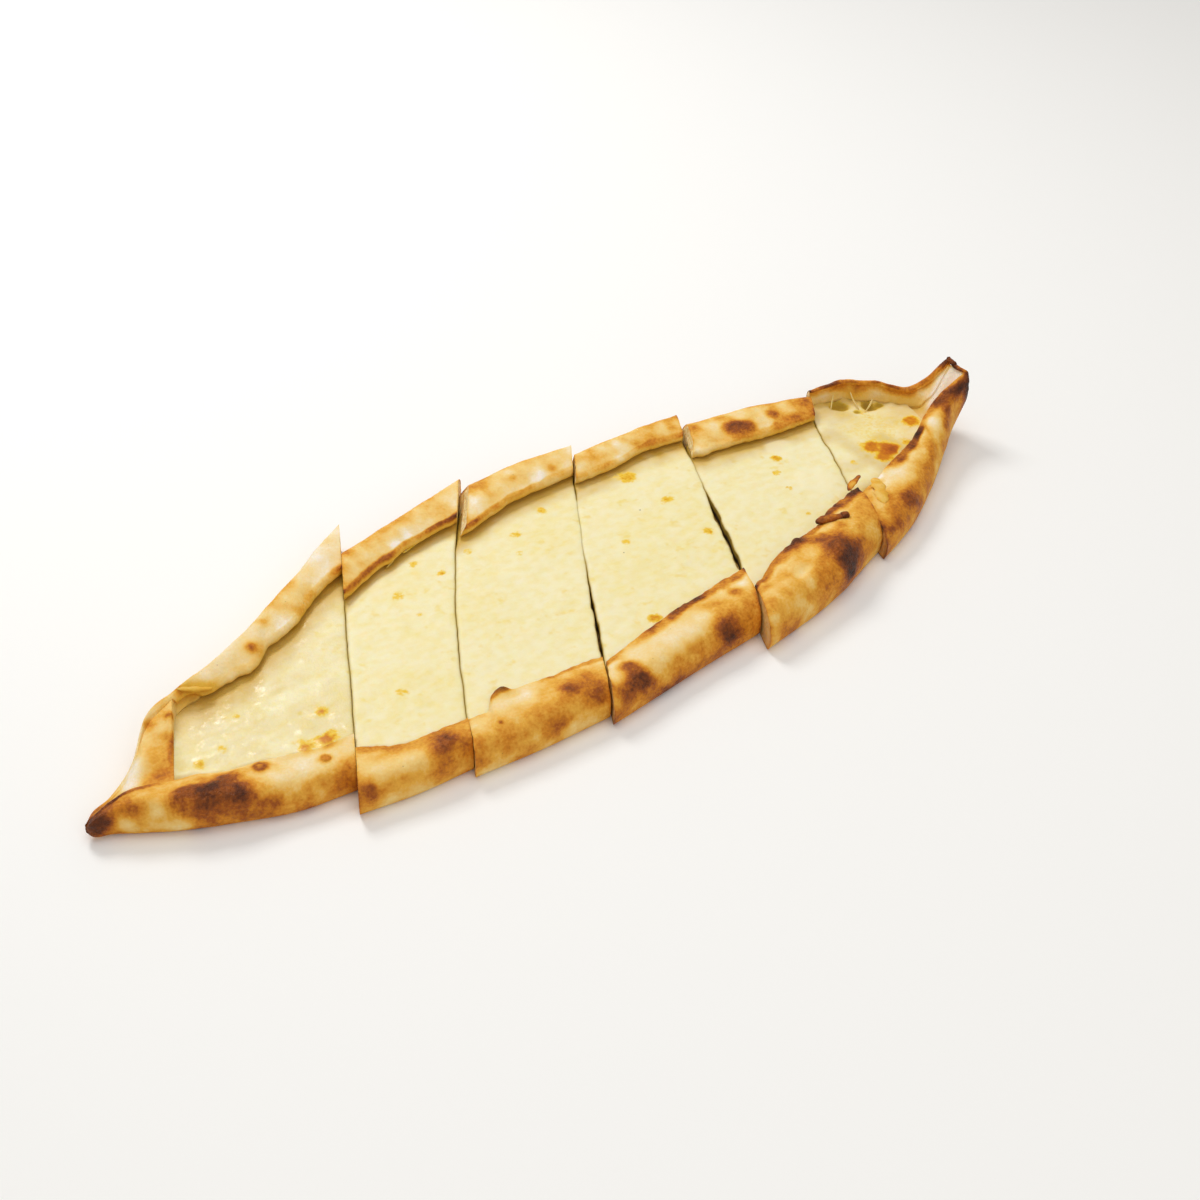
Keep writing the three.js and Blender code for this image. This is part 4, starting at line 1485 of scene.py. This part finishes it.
# The slices, from left to right
SLICES = (
    Slice(
        name="slice_1",
        ends=(LEFT_TIP, CUT_1),
        trough_start=0.333,
        wet=0.5,
        oily=0.16,
        # painted shade with oil reaches 26 mm from slice 1's far fold
        far_oil_and_shade=26.0,
        brim=0.7,
        lift=keyed((0, 4), (0.02, 2.3), (0.09, 0.8), (0.17, 0), (1, 0)),
        near=Rim(
            side=Side.NEAR,
            edge=keyed((0, -10.5), (0.02, -12.7), (0.09, -15.4), (0.17, -19.8), (0.32, -28), (0.55, -38.3),
                       (0.78, -46.7), (1, -50.4)),
            width=keyed((0, 0.8), (0.02, 2.6), (0.09, 6.0), (0.17, 9.4), (0.32, 14.4), (0.55, 16.2),
                        (0.68, 18), (0.78, 18.2), (0.9, 17.2), (1, 18.2)),
            crown=keyed((0, 6), (0.02, 8.6), (0.09, 12), (0.17, 14.5), (0.32, 15.2), (0.45, 15),
                        (0.6, 13.9), (0.8, 13.3), (1, 13)),
            lip=keyed((0, 6), (0.02, 8.6), (0.09, 12), (0.17, 14.3), (0.32, 13.5), (0.55, 12.3), (1, 12.2)),
            crest=NEAR_CREST,
            lip_bake=keyed((0, 0.95), (0.22, 0.85), (0.28, 0.45), (0.36, 0.35), (0.5, 0.12), (0.9, 0.1),
                           (1, 0.2)),
            top_bake=keyed((0, 0.9), (0.1, 0.6), (0.2, 0.35), (0.35, 0.22), (0.6, 0.07), (0.85, 0.08),
                           (1, 0.18)),
            side_bake=keyed((0, 0.9), (0.1, 0.66), (0.2, 0.54), (0.3, 0.52), (0.6, 0.6), (1, 0.58)),
            ragged=0.4,
        ),
        far=Rim(
            side=Side.FAR,
            edge=keyed((0, -8.6), (0.02, -6), (0.09, -2), (0.17, 8), (0.22, 21), (0.32, 26.7), (0.55, 42),
                       (0.78, 64.8), (1, 88.3)),
            width=keyed((0, 0.5), (0.02, 1.6), (0.09, 4.3), (0.17, 7), (0.25, 5.5), (0.34, 3.6),
                        (0.39, 5.3), (0.43, 10.6), (0.465, 13.2), (0.547, 17), (0.59, 20.5), (0.638, 23),
                        (0.682, 20.6), (0.72, 23), (0.8, 26.8), (0.84, 25), (0.91, 25.6), (1, 30.2)),
            crown=keyed((0, 6), (0.02, 7.5), (0.09, 8.5), (0.17, 11.5), (0.22, 17.5), (0.34, 18), (1, 19)),
            lip=keyed((0, 6), (0.02, 7.5), (0.09, 9), (0.17, 12), (0.22, 15), (0.34, 17.2), (0.39, 16.5),
                      (0.43, 15.5), (0.46, 15.2), (0.55, 15), (1, 15.8)),
            crest=FAR_CREST,
            thickness=4.0,
            tuck=keyed((0, 0.2), (0.25, -0.2), (0.34, -1.1), (0.39, -0.5), (0.43, 0.2), (0.47, 0.5),
                       (1, 0.5)),
            lip_bake=keyed((0, 0.6), (0.3, 0.35), (0.45, 0.26), (0.7, 0.22), (0.85, 0.45), (1, 0.72)),
            ragged=0.9,
            top_bake=keyed((0, 0.4), (0.3, 0.2), (0.45, 0.1), (0.7, 0.06), (1, 0.03)),
            side_bake=keyed((0, 0.6), (0.3, 0.4), (1, 0.35)),
        ),
        marks=(
            Mark((-160, 34, 18), 10, 0.08, to=(-84, 74, 19)),
            Mark((-216.3, -26.4, 12.2), 5, 0.55),
            Mark((-211, -26, 13.8), 6.6, 0.74, 1.4, to=(-193.2, -35.6, 12.6)),
            Mark((-208.4, -26.4, 14.4), 4.4, 0.84, 0.5, to=(-203, -29.4, 14.2)),
            Mark((-196.6, -31.6, 14.2), 5, 0.86, 0.6),
            Mark((-194, -26.4, 14.8), 3.6, 0.84, 0.6),
            Mark((-193.3, -39.6, 7.3), 4, 0.72),
            Mark((-240, -13.5, 9), 4.5, 0.95),
            Mark((-244.5, -10.9, 8), 4, 0.95),
            Mark((-227.8, -17.8, 12), 4.5, 0.68),
            Mark((-232.5, -18.8, 6), 4, 0.16),
            Mark((-226, -23.6, 5), 3.6, 0.26, to=(-215, -29.6, 5)),
            Mark((-221.4, -20.8, 14.6), 3.2, 0.3, to=(-222, -23.2, 11.5)),
            Mark((-166.2, -45.5, 12), 5.5, 0.55, to=(-155, -47, 11.5)),
            Mark((-175, -33, 13.2), 6.5, 0.06, to=(-158, -37.4, 13)),
            Mark((-170, -28.4, 12.5), 2, 0.08, to=(-143, -33, 12.3), oil=0.3),
            Mark((-158, -38.3, 13.3), 2.4, 0.76, 0.3, crisp=5),
            Mark((-158, -38, 13.4), 1, 0.62),
            Mark((-153.4, -31, 12.3), 2.6, 0.46, 0.2),
            Mark((-152.9, -30.2, 12.3), 1.6, 0.66),
            Mark((-160.8, -29, 12.3), 2.2, 0.4),
            Mark((-180.9, -28.2, 13.3), 4.4, 0.3, 0.5),
            Mark((-180.9, -28, 13.3), 3, 0.8, 0.5, crisp=6),
            Mark((-180.7, -27.8, 13.4), 1.3, 0.6, 0.2),
            Mark((-207.5, 1, 13.4), 6.5, 0.42),
            Mark((-202, 12.5, 14.6), 3, 0.1),
            Mark((-213, -8.2, 13.5), 5, 0.62),
            Mark((-217.7, 2.1, 13), 4, 0.0, to=(-223.8, -5.1, 12)),
            Mark((-208.4, -8.8, 13.3), 1.1, 0.58, to=(-199.4, 8, 14), crisp=5),
            Mark((-203.9, 16.2, 17.1), 2.1, 0.55),
            Mark((-196, 15.2, 16.2), 2.2, 0.72, crisp=4),
            Mark((-193.4, 26.2, 17), 2, 0.6),
            Mark((-185.6, 25.5, 17.8), 2.6, 0.68),
            Mark((-181.8, 25.2, 16.5), 3.2, 0.42, to=(-174.5, 20.3, 14.5), oil=0.9, crisp=4),
            Mark((-157.9, 26, 13.5), 1.5, 0.6),
            Mark((-150.8, 31.7, 16), 4.2, 0.34),
            Mark((-150.6, 32, 16), 2.6, 0.66, 0.6, crisp=6),
            Mark((-139.1, 42.6, 17.4), 2.4, 0.5),
            Mark((-131, 52.3, 17.9), 3.5, 0.42, to=(-118.2, 58.9, 18.6)),
            Mark((-122.6, 43.8, 13.5), 2.5, 0.45, to=(-111.5, 50, 14)),
        ),
        strips=(
            Strip(((-187, 26.4, 17.9), (-183, 24.2, 17.2), (-179, 22.6, 16.2), (-174, 21, 15.2)), 2.6, 1.6,
                  0.28, 0.16, 0.6),
        ),
        spots=(
            # painted shade: an oily yellow patch under the far fold stands for its shadow
            Spot((-127.3, 40.6), 5, 0.0, 0.0, 1),
            Spot((-144.7, -12.6), 2.6, 0.55),
            Spot((-197.4, -10.7), 2.6, 0.45),
            Spot((-186.5, -8), 2, 0.3),
            Spot((-173.1, 4.4), 1.6, 0.3),
            Spot((-151.6, -27.6), 3.6, 0.45, 0.3),
            Spot((-151.2, -27), 2.4, 0.74, 0.4, crisp=6),
            Spot((-149.6, -24.6), 1.6, 0.62, 0.2),
            Spot((-160.3, -26.4), 2.7, 0.6, 0.3),
        ),
    ),
    Slice(
        name="slice_2",
        ends=(CUT_1, CUT_2),
        far_oil_and_shade=10.0,
        near=Rim(
            side=Side.NEAR,
            edge=even(-61.9, -66.2, -67.6),
            width=even(22.9, 16.5, 15.6),
            crown=even(15, 15.5),
            lip=even(12.5, 13.5),
            crest=NEAR_CREST,
            lip_bake=even(0.5, 0.45, 0.45),
            top_bake=even(0.28, 0.36, 0.4),
            side_bake=even(0.42, 0.4, 0.5),
            band=2.3,
        ),
        far=Rim(
            side=Side.FAR,
            edge=even(67.8, 75.8, 85.3),
            width=even(25.8, 21.8, 21.4, 22.8, 25.8),
            ragged=0.9,
            crown=even(19, 19),
            lip=even(15.8, 15.8),
            thickness=4.0,
            crest=FAR_CREST,
            lip_bake=even(0.5, 0.6, 0.6),
            top_bake=even(0.14, 0.13, 0.13),
            side_bake=even(0.45, 0.4),
        ),
        marks=(
            Mark((-117.8, -62.6, 14.8), 11, 0.52),
            Mark((-117.3, -61, 15), 7.4, 0.73, 1.0),
            Mark((-116.8, -59.8, 15.4), 4, 0.82),
            Mark((-134.2, -53.6, 14.6), 5, 0.42, -0.4),
            Mark((-131, -59.6, 14.9), 5, 0.2, to=(-147, -57.5, 13.8)),
            Mark((-112.9, -66, 11.8), 5, 0.55),
            Mark((-153.2, -62, 9.5), 4, 0.74, 0.4),
            Mark((-108.8, -51.9, 13.3), 3.5, 0.5, to=(-104, -52, 13.4)),
            Mark((-144.8, -41.6, 13.5), 2.6, 0.5, to=(-133.4, -47.3, 13)),
            Mark((-74.8, 65, 18.6), 5, 0.4, to=(-52.8, 71.7, 17.9)),
            Mark((-86.3, 61.7, 18.6), 2.5, 0.62),
            Mark((-95.2, 43.9, 13.5), 3.2, 0.56),
        ),
        spots=(
            Spot((-62.3, 45.8), 1.7, 0.35),
            Spot((-55.7, 33.1), 1.5, 0.5),
            Spot((-80.5, 30.6), 2.4, 0.3),
            Spot((-79.6, 14.5), 1.6, 0.25),
            Spot((-112.9, -22.5), 2, 0.3),
        ),
        strings=(
            Strip(((-80, 51.4, 12.6), (-73, 52.6, 12.3), (-66.8, 53.6, 12.2)), 1.6, 1.2, 0.4),
            Strip(((-73.1, 50.4, 11.3), (-69.5, 51.8, 11.9), (-66.8, 53.2, 12.2)), 1, 0.8, 0.2),
            Strip(((-62, 54.4, 12.1), (-58.6, 55.4, 12), (-54, 56.8, 12), (-50.9, 57.6, 12.2)), 1.6, 1.1,
                  0.3),
        ),
    ),
    Slice(
        name="slice_3",
        ends=(CUT_2, CUT_3),
        near=Rim(
            side=Side.NEAR,
            edge=even(-72, -75.2, -76.5),
            width=keyed((0, 18.5), (0.12, 18), (0.15, 18.8), (0.185, 24.6), (0.25, 26), (0.33, 24.6),
                        (0.5, 24.2), (0.667, 23.4), (0.833, 22.6), (1, 21.5)),
            crown=even(15.5, 16, 16),
            lip=keyed((0, 13.5), (0.14, 13.2), (0.185, 14.4), (0.25, 15.3), (0.33, 14), (0.5, 13.5),
                      (1, 14)),
            crest=NEAR_CREST,
            lip_bake=even(0.45, 0.2, 0.5, 0.62, 0.7),
            top_bake=even(0.28, 0.31, 0.33),
            side_bake=even(0.38, 0.36, 0.42),
            band=2.4,
        ),
        far=Rim(
            side=Side.FAR,
            edge=even(79.5, 78.5, 76),
            width=even(30, 23, 20.2, 18.5),
            crown=even(19, 19.5, 19),
            lip=even(15.5, 15.8, 15.8),
            thickness=4.0,
            crest=FAR_CREST,
            lip_bake=even(0.45, 0.5, 0.42, 0.3),
            top_bake=even(0.13, 0.155, 0.16),
            side_bake=even(0.5, 0.45, 0.35),
        ),
        marks=(
            Mark((-89, -56, 14), 6.5, 0.06, to=(-75, -55, 14.8)),
            Mark((-84, -52.6, 14.6), 3.2, 0.14, -1.3, to=(-77.5, -52.2, 14.8), oil=0.25),
            Mark((-87.4, -49.2, 14.6), 1.7, 0.64, 0.5, to=(-76.8, -47.8, 15.2), crisp=5),
            Mark((-84.6, -47.6, 15), 1.5, 0.8, 0.3, to=(-81.5, -47.2, 15.2), crisp=5),
            Mark((-60.8, -65.1, 16), 3.8, 0.76, 0.5),
            Mark((-66, -70.5, 14), 4, 0.52, to=(-58, -72.5, 13.5)),
            Mark((-51.2, -73.3, 13.3), 5, 0.7, 0.4),
            Mark((-76.5, -74.4, 10.4), 4, 0.56, to=(-67.1, -74, 11.9)),
            Mark((-107.5, -69.5, 13.1), 4.5, 0.42),
            Mark((-108.4, -72.1, 8.4), 4, 0.55),
            Mark((-93.9, -64.1, 15.7), 0.9, 0.75),
            Mark((-9.4, 69.9, 19.2), 7, 0.5),
            Mark((6.6, 65.2, 18.6), 2.5, 0.42),
            Mark((28, 62.4, 17.3), 3, 0.4),
        ),
        spots=(
            Spot((8.6, 45.3), 2.2, 0.42),
            Spot((-12, 36.3), 2.2, 0.4),
            Spot((-36.7, 39.7), 2, 0.25),
            Spot((-19.2, 24.1), 1.6, 0.25),
        ),
    ),
    Slice(
        name="slice_4",
        ends=(CUT_3, CUT_4),
        near=Rim(
            side=Side.NEAR,
            edge=even(-81, -77, -73.8),
            width=even(21.8, 25.5, 27.5),
            crown=even(16, 16.5, 17),
            lip=even(14.5, 15, 15),
            crest=NEAR_CREST,
            lip_bake=even(0.74, 0.8, 0.77),
            top_bake=even(0.15, 0.14, 0.18),
            side_bake=even(0.55, 0.53, 0.5),
            band=5,
        ),
        far=Rim(
            side=Side.FAR,
            edge=even(69.8, 69.6, 66.8),
            width=even(17.3, 18.6, 15.3, 17),
            crown=even(18, 18),
            lip=even(15.2, 15.2, 15.6),
            thickness=3.8,
            crest=FAR_CREST,
            lip_bake=even(0.3, 0.42, 0.45),
            top_bake=even(0.25, 0.26, 0.25),
            side_bake=even(0.42, 0.42),
        ),
        marks=(
            Mark((19.6, -72.4, 14.2), 9.6, 0.54),
            Mark((19.4, -72.6, 14.2), 6.8, 0.84, 0.8),
            Mark((18.2, -75, 13.6), 3.6, 0.92),
            Mark((34.2, -58.5, 16.7), 2.4, 0.6, to=(37, -59, 16.6)),
            Mark((-31.1, -76.2, 13.5), 5, 0.68, 0.4, to=(-42, -77.6, 12.5)),
            Mark((-31.9, -68.3, 16.1), 3.8, 0.88, to=(-31.1, -76.2, 13.5)),
            Mark((-22.8, -64, 16), 6, 0.11, to=(10.3, -64.2, 16.6)),
            Mark((34.6, -70.7, 13.8), 5, 0.5),
            Mark((50.8, 60.6, 17.7), 4, 0.4),
            Mark((99.3, 62.1, 17.9), 3, 0.55),
        ),
        spots=(
            Spot((58, 41.8), 4, 0.5),
            Spot((61.5, 17.2), 2.6, 0.45),
            Spot((59.9, -14.4), 1.8, 0.5),
            Spot((0, -46.6), 2, 0.55),
            Spot((24.4, 2.5), 2, 0.3),
        ),
    ),
    Slice(
        name="slice_5",
        ends=(CUT_4, CUT_5),
        near=Rim(
            side=Side.NEAR,
            edge=even(-84, -77.6, -63.6),
            width=even(24.2, 31, 31, 29.7),
            crown=even(17.5, 20, 20, 19),
            lip=even(15.5, 17.5, 17.5, 16.5),
            crest=NEAR_CREST,
            lip_bake=even(0.7, 0.74, 0.76),
            top_bake=even(0.2, 0.17, 0.24),
            side_bake=even(0.4, 0.42, 0.3),
            ragged=1.0,
            band=5,
        ),
        far=Rim(
            side=Side.FAR,
            edge=even(58.8, 52.2, 40.5),
            width=even(23, 23.4, 21.4, 15.6),
            crown=even(18, 18, 17.5),
            lip=even(15.2, 15.2, 15.2),
            thickness=3.8,
            crest=FAR_CREST,
            lip_bake=even(0.22, 0.26, 0.56, 0.64),
            ragged=0.9,
            band=3.2,
            top_bake=even(0.2, 0.16, 0.4),
            side_bake=even(0.45, 0.5),
        ),
        marks=(
            Mark((91, -69, 16.8), 15.5, 0.6, 0.9),
            Mark((76.8, -62, 19.8), 5, 0.2),
            Mark((115.6, -61.9, 16.5), 4.5, 0.36),
            Mark((100.4, -60.4, 19.5), 3.5, 0.52, to=(97, -64, 19)),
            Mark((90.5, -69, 16.8), 10.5, 0.84, 1.2),
            Mark((91, -72, 15.4), 5.4, 0.98, -0.4, to=(94, -70.6, 15.8)),
            Mark((80.2, -71.3, 18.1), 5, 0.58),
            Mark((81.9, -75.5, 13), 5, 0.55),
            Mark((63.5, -68.9, 19.8), 2.6, 0.17, -1.3, to=(70, -67.5, 19.9)),
            Mark((81, -49.5, 18.2), 2.2, 0.85, 1.2),
            Mark((132.8, -43.8, 18.5), 3.5, 0.66),
            Mark((105.1, 49.7, 18), 4, 0.6),
            Mark((120.3, 46.9, 18), 3.5, 0.48),
            Mark((114.2, 43.9, 17.6), 5, 0.1),
            Mark((137.3, 33.8, 17.2), 4, 0.12),
            Mark((120.5, 38.6, 17.6), 4.6, 0.68, 0.5, to=(129, 35, 17.2), crisp=6),
            Mark((122.4, 37.8, 17.4), 3, 0.77, to=(127.6, 35.6, 17.2), crisp=5),
            Mark((146.1, 35.6, 17), 3.6, 0.66),
            Mark((150.8, 27.8, 16.8), 4, 0.52),
            Mark((164.9, 33.3, 17.2), 4.2, 0.62, to=(168, 33, 17)),
        ),
        strips=(
            Strip(((98.5, -43.8, 17.3), (101, -45.6, 18.9), (104.5, -47.6, 19.6), (108, -49.1, 19.9),
                  (111.5, -50.3, 19.9)), 4.2, 2.8, 0.68, 0.1),
            Strip(((98.2, -43.9, 17.6), (101, -45.4, 18.9), (103.8, -47, 19.5)), 4.8, 2.8, 0.76),
            Strip(((108.6, -49.2, 20), (110.6, -50, 20.3), (112.6, -50.7, 20)), 4.4, 3, 0.78),
            Strip(((129.6, -34, 16.6), (133.2, -32.4, 17.9), (136.6, -31.7, 18.7), (140.6, -30.4, 19.2)),
                  3.8, 1, 0.5, 0.22, blunt=1.3),
        ),
        spots=(
            Spot((134.8, 17.5), 7.5, -0.6, 0.4, crisp=7),
            Spot((130.1, -13.9), 10.5, -0.6, 0.5, crisp=7),
            Spot((126.8, 11.7), 2.4, 0.6),
            Spot((117.9, 2.4), 1.8, 0.35),
            Spot((114, -10.6), 1.8, 0.3),
            Spot((107, -31.1), 1.6, 0.25),
        ),
    ),
    Slice(
        name="slice_6",
        ends=(CUT_5, RIGHT_TIP),
        cheese_end=0.77,
        oily=0.42,
        climb=0.9,
        lift=keyed((0, 0), (0.51, 0), (0.71, 3), (0.89, 7), (1, 19)),
        floor=keyed((0, BASE_THICKNESS), (0.51, 5.3), (0.7, 8.2), (0.77, 9.3), (0.823, 11.8), (0.856, 15.6),
                    (0.907, 21), (0.95, 27), (1, 35)),
        near=Rim(
            side=Side.NEAR,
            edge=keyed((0, -69), (0.24, -59), (0.51, -42.3), (0.71, -29.3), (0.89, -19), (1, -16.2)),
            width=keyed((0, 30.6), (0.24, 28), (0.51, 19.4), (0.71, 16), (0.89, 7.5), (1, 3)),
            crown=keyed((0, 16.5), (0.24, 17), (0.51, 19), (0.71, 23.5), (0.89, 30), (1, 36.5)),
            lip=keyed((0, 15), (0.24, 17), (0.51, 19), (0.71, 23.5), (0.89, 30), (1, 36.5)),
            crest=even(0.6, 0.85),
            tuck=even(0.3, 0),
            lip_bake=even(0.3, 0.82, 0.82, 0.86),
            top_bake=even(0.12, 0.12, 0.2, 0.75),
            side_bake=even(0.52, 0.5, 0.5, 0.75),
            band=4.5,
        ),
        far=Rim(
            side=Side.FAR,
            edge=keyed((0, 42.4), (0.19, 41), (0.37, 39), (0.49, 34.4), (0.62, 28.8), (0.71, 22.3),
                       (0.776, 16.8), (0.85, 11.8), (0.9, 7.9), (0.95, 4.3), (1, 0.6)),
            width=keyed((0, 4.2), (0.776, 6), (0.9, 5), (1, 3)),
            crown=FAR_WALL_TOP,
            lip=FAR_WALL_TOP,
            crest=even(0.8, 0.8),
            tuck=keyed((0, -0.4), (0.42, -0.5), (0.64, -0.6), (0.75, -0.5), (0.83, -1.1), (0.9, -1),
                       (1, -0.3)),
            lip_bake=keyed((0, 0.62), (0.3, 0.74), (0.6, 0.76), (0.8, 0.7), (0.88, 0.5), (0.95, 0.6),
                           (1, 0.85)),
            top_bake=even(0.5, 0.5, 0.42, 0.5),
            side_bake=even(0.5, 0.45),
        ),
        marks=(
            Mark((157.3, -37.6, 17), 6, 0.05),
            Mark((152.4, -53.5, 14.1), 5.2, 0.8, 0.5),
            Mark((138.7, -60, 12.9), 6, 0.58, 0.4),
            Mark((140.8, -49.4, 16.5), 2.5, 0.62),
            Mark((151.3, -32.6, 15.5), 3, 0.0),
            Mark((168.4, -45.2, 15.3), 3.6, 0.5),
            Mark((188.7, -31.6, 18.7), 2.6, 0.6, to=(181.6, -39.6, 15.4)),
            Mark((200.7, -21.5, 21.8), 5, 0.0, crisp=2.8),
            Mark((213, -19.6, 24.1), 3.2, 0.68, to=(207.7, -25.4, 19.1)),
            Mark((196.1, -20.5, 20.7), 1, 0.5, -0.5, to=(190.8, -34, 16.9)),
            Mark((224, -13.9, 30.1), 5, 0.85),
            Mark((198, 25.5, 17.5), 4, 0.5),
            Mark((216, -4.5, 20), 5.2, -0.12, to=(229.5, -7.4, 34), crisp=6),
            Mark((230.5, -1.5, 37.5), 1.3, 0.82, to=(231, -14, 36), crisp=5),
            Mark((229.5, 1, 37), 4.4, 0.84),
            Mark((230.8, -2, 36.8), 2.6, 0.84, crisp=6),
            Mark((193.7, 34.2, 16.8), 3, 0.56),
            Mark((201.2, 27.6, 16.6), 3.6, 0.5),
            Mark((213.7, 17.2, 16.4), 3.2, 0.62, to=(217.8, 9.6, 16.2)),
        ),
        strips=(
            Strip(((148.6, -32.8, 15.7), (144.6, -38.6, 17), (141.2, -43.6, 17.4), (135.6, -51.4, 16.9)),
                  5.6, 1.2, 0.32, 0.1, 0.35),
            Strip(((230.6, -0.2, 37.6), (230.4, -3.2, 36.9), (230.4, -6.8, 36)), 2.2, 2.6, 0.82, 0.06),
            Strip(((230.2, -3.4, 36.2), (230.3, -7, 35.5), (230.5, -10.4, 35.4), (231, -13.8, 35.7)), 1.8,
                  1.8, 0.68, 0.1),
        ),
        spots=(
            Spot((185, 0), 20, 0.14, 0.0),
            Spot((171.1, -10.1), 4.8, 0.7, crisp=7),
            Spot((170.2, -18.4), 4, 0.7, crisp=7),
            Spot((177.2, -15.5), 5, 0.82, 0.3, crisp=7),
            Spot((178.6, -17.4), 2.4, 0.94),
            Spot((205.4, -4.4), 3.6, 0.68, crisp=7),
            Spot((189.6, -15.8), 1.8, 0.5),
            Spot((154.9, -13), 1.4, 0.4),
            # pockets at the far wall's foot: sunk, golden and darkened with painted shade
            Spot((187.4, 28), 4.2, 0.62, -1.8, 1, 0.5, 5),
            Spot((198.6, 19.8), 3.8, 0.66, -1.8, 1, 0.62, 5),
            Spot((204.4, 17), 2.4, 0.6, -1, 1, 0.5, 5),
            Spot((189.4, 18.5), 1.5, 0.6, -0.5, 1, 0.5),
        ),
        strings=(
            Strip(((195, 29.2, 15.4), (193.4, 25, 13.2), (191.9, 19.2, 11.1)), 0.9, 0.8),
            Strip(((202, 19.8, 13.6), (197.6, 17.4, 12.2), (192.8, 15.8, 11)), 0.9, 0.7),
            Strip(((186.4, 32.6, 15), (183.4, 30.4, 13), (180.3, 27.7, 11.1)), 0.9, 0.8),
        ),
    ),
)


@dataclass(frozen=True)
class Lamp:
    """A square soft light that faces the boat's middle: place and side in metres, power in watts."""

    name: str
    place: Point
    size: float
    power: float

    def hang(self) -> None:
        """Adds the light."""
        data = bpy.data.lights.new(self.name, "AREA")
        data.size = self.size
        data.energy = self.power
        made = bpy.data.objects.new(self.name, data)
        made.location = self.place
        made.rotation_euler = (-Vector(self.place)).to_track_quat("-Z", "Y").to_euler()
        bpy.context.scene.collection.objects.link(made)


@dataclass(frozen=True)
class Studio:
    """A pale floor, soft light from above and behind, and the camera.

    eye and floor_drop are in millimetres, floor_reach and clip_start in metres, and the angles in degrees.
    """

    eye: Point = (-370.8, -460.8, 468.5)
    heading: float = 40.073
    pitch: float = 38.792
    roll: float = 2.256
    lens: float = 50.46
    clip_start: float = 0.01
    floor_reach: float = 4.0
    floor_drop: float = 0.3
    floor_colour: Colour = srgb(250, 249, 246)
    floor_roughness: float = 0.7
    sky: Colour = srgb(255, 253, 250)
    sky_strength: float = 0.42
    lamps: tuple[Lamp, ...] = (
        Lamp("key", (0.05, 1.0, 1.05), 0.45, 8.8),
        Lamp("overhead", (0.1, 0.05, 1.5), 1.0, 5.6),
        Lamp("fill", (-0.3, -1.1, 0.9), 1.0, 3.2),
    )

    def camera(self) -> None:
        """Sets the camera: it looks along a heading from +Y towards +X, pitched down and rolled."""
        heading, pitch, roll = (math.radians(angle) for angle in (self.heading, self.pitch, self.roll))
        flat = math.cos(pitch)
        ahead = Vector((math.sin(heading) * flat, math.cos(heading) * flat, -math.sin(pitch)))
        right = Vector((math.cos(heading), -math.sin(heading), 0))
        up = right.cross(ahead)
        turned = math.cos(roll) * right + math.sin(roll) * up
        risen = math.cos(roll) * up - math.sin(roll) * right
        data = bpy.data.cameras.new("camera")
        data.lens = self.lens
        data.clip_start = self.clip_start
        made = bpy.data.objects.new("camera", data)
        axes = Matrix((turned, risen, -ahead)).transposed().to_4x4()
        made.matrix_world = Matrix.Translation(Vector(self.eye) * MM) @ axes
        bpy.context.scene.collection.objects.link(made)
        bpy.context.scene.camera = made

    def floor(self) -> None:
        """Lays the floor just under the slices."""
        reach, low = self.floor_reach, -self.floor_drop * MM
        mesh = bpy.data.meshes.new("floor")
        corners = [(-reach, -reach, low), (reach, -reach, low), (reach, reach, low), (-reach, reach, low)]
        mesh.from_pydata(corners, [], [(0, 1, 2, 3)])
        made = bpy.data.objects.new("floor", mesh)
        bpy.context.scene.collection.objects.link(made)
        nodes = Nodes("pale_floor")
        sockets = {"Base Color": self.floor_colour, "Roughness": self.floor_roughness}
        mesh.materials.append(nodes.surface(sockets))

    def sky_light(self) -> None:
        """Fills the surroundings with pale light."""
        world = bpy.data.worlds.new("surroundings")
        world.use_nodes = True
        background = world.node_tree.nodes["Background"]
        background.inputs["Color"].default_value = self.sky
        background.inputs["Strength"].default_value = self.sky_strength
        bpy.context.scene.world = world

    def build(self) -> None:
        """Sets up the camera, the floor and the light."""
        scene = bpy.context.scene
        scene.view_settings.view_transform = "Standard"
        scene.view_settings.look = "None"
        self.camera()
        self.floor()
        self.sky_light()
        for lamp in self.lamps:
            lamp.hang()


def main() -> None:
    """Builds the studio and the slices, and reports each piece."""
    logging.basicConfig(level=logging.INFO, format="%(name)s: %(message)s")
    Studio().build()
    crust_material = CrustFinish().material()
    cheese_material = CheeseFinish().material()
    for slice_ in SLICES:
        for assembly, material in ((Crust(slice_), crust_material), (Cheese(slice_), cheese_material)):
            piece = assembly.build()
            assembly.dress(piece, material)
            log.info("%s has %d triangles", piece.name, len(piece.data.polygons))


if __name__ == "__main__":
    main()
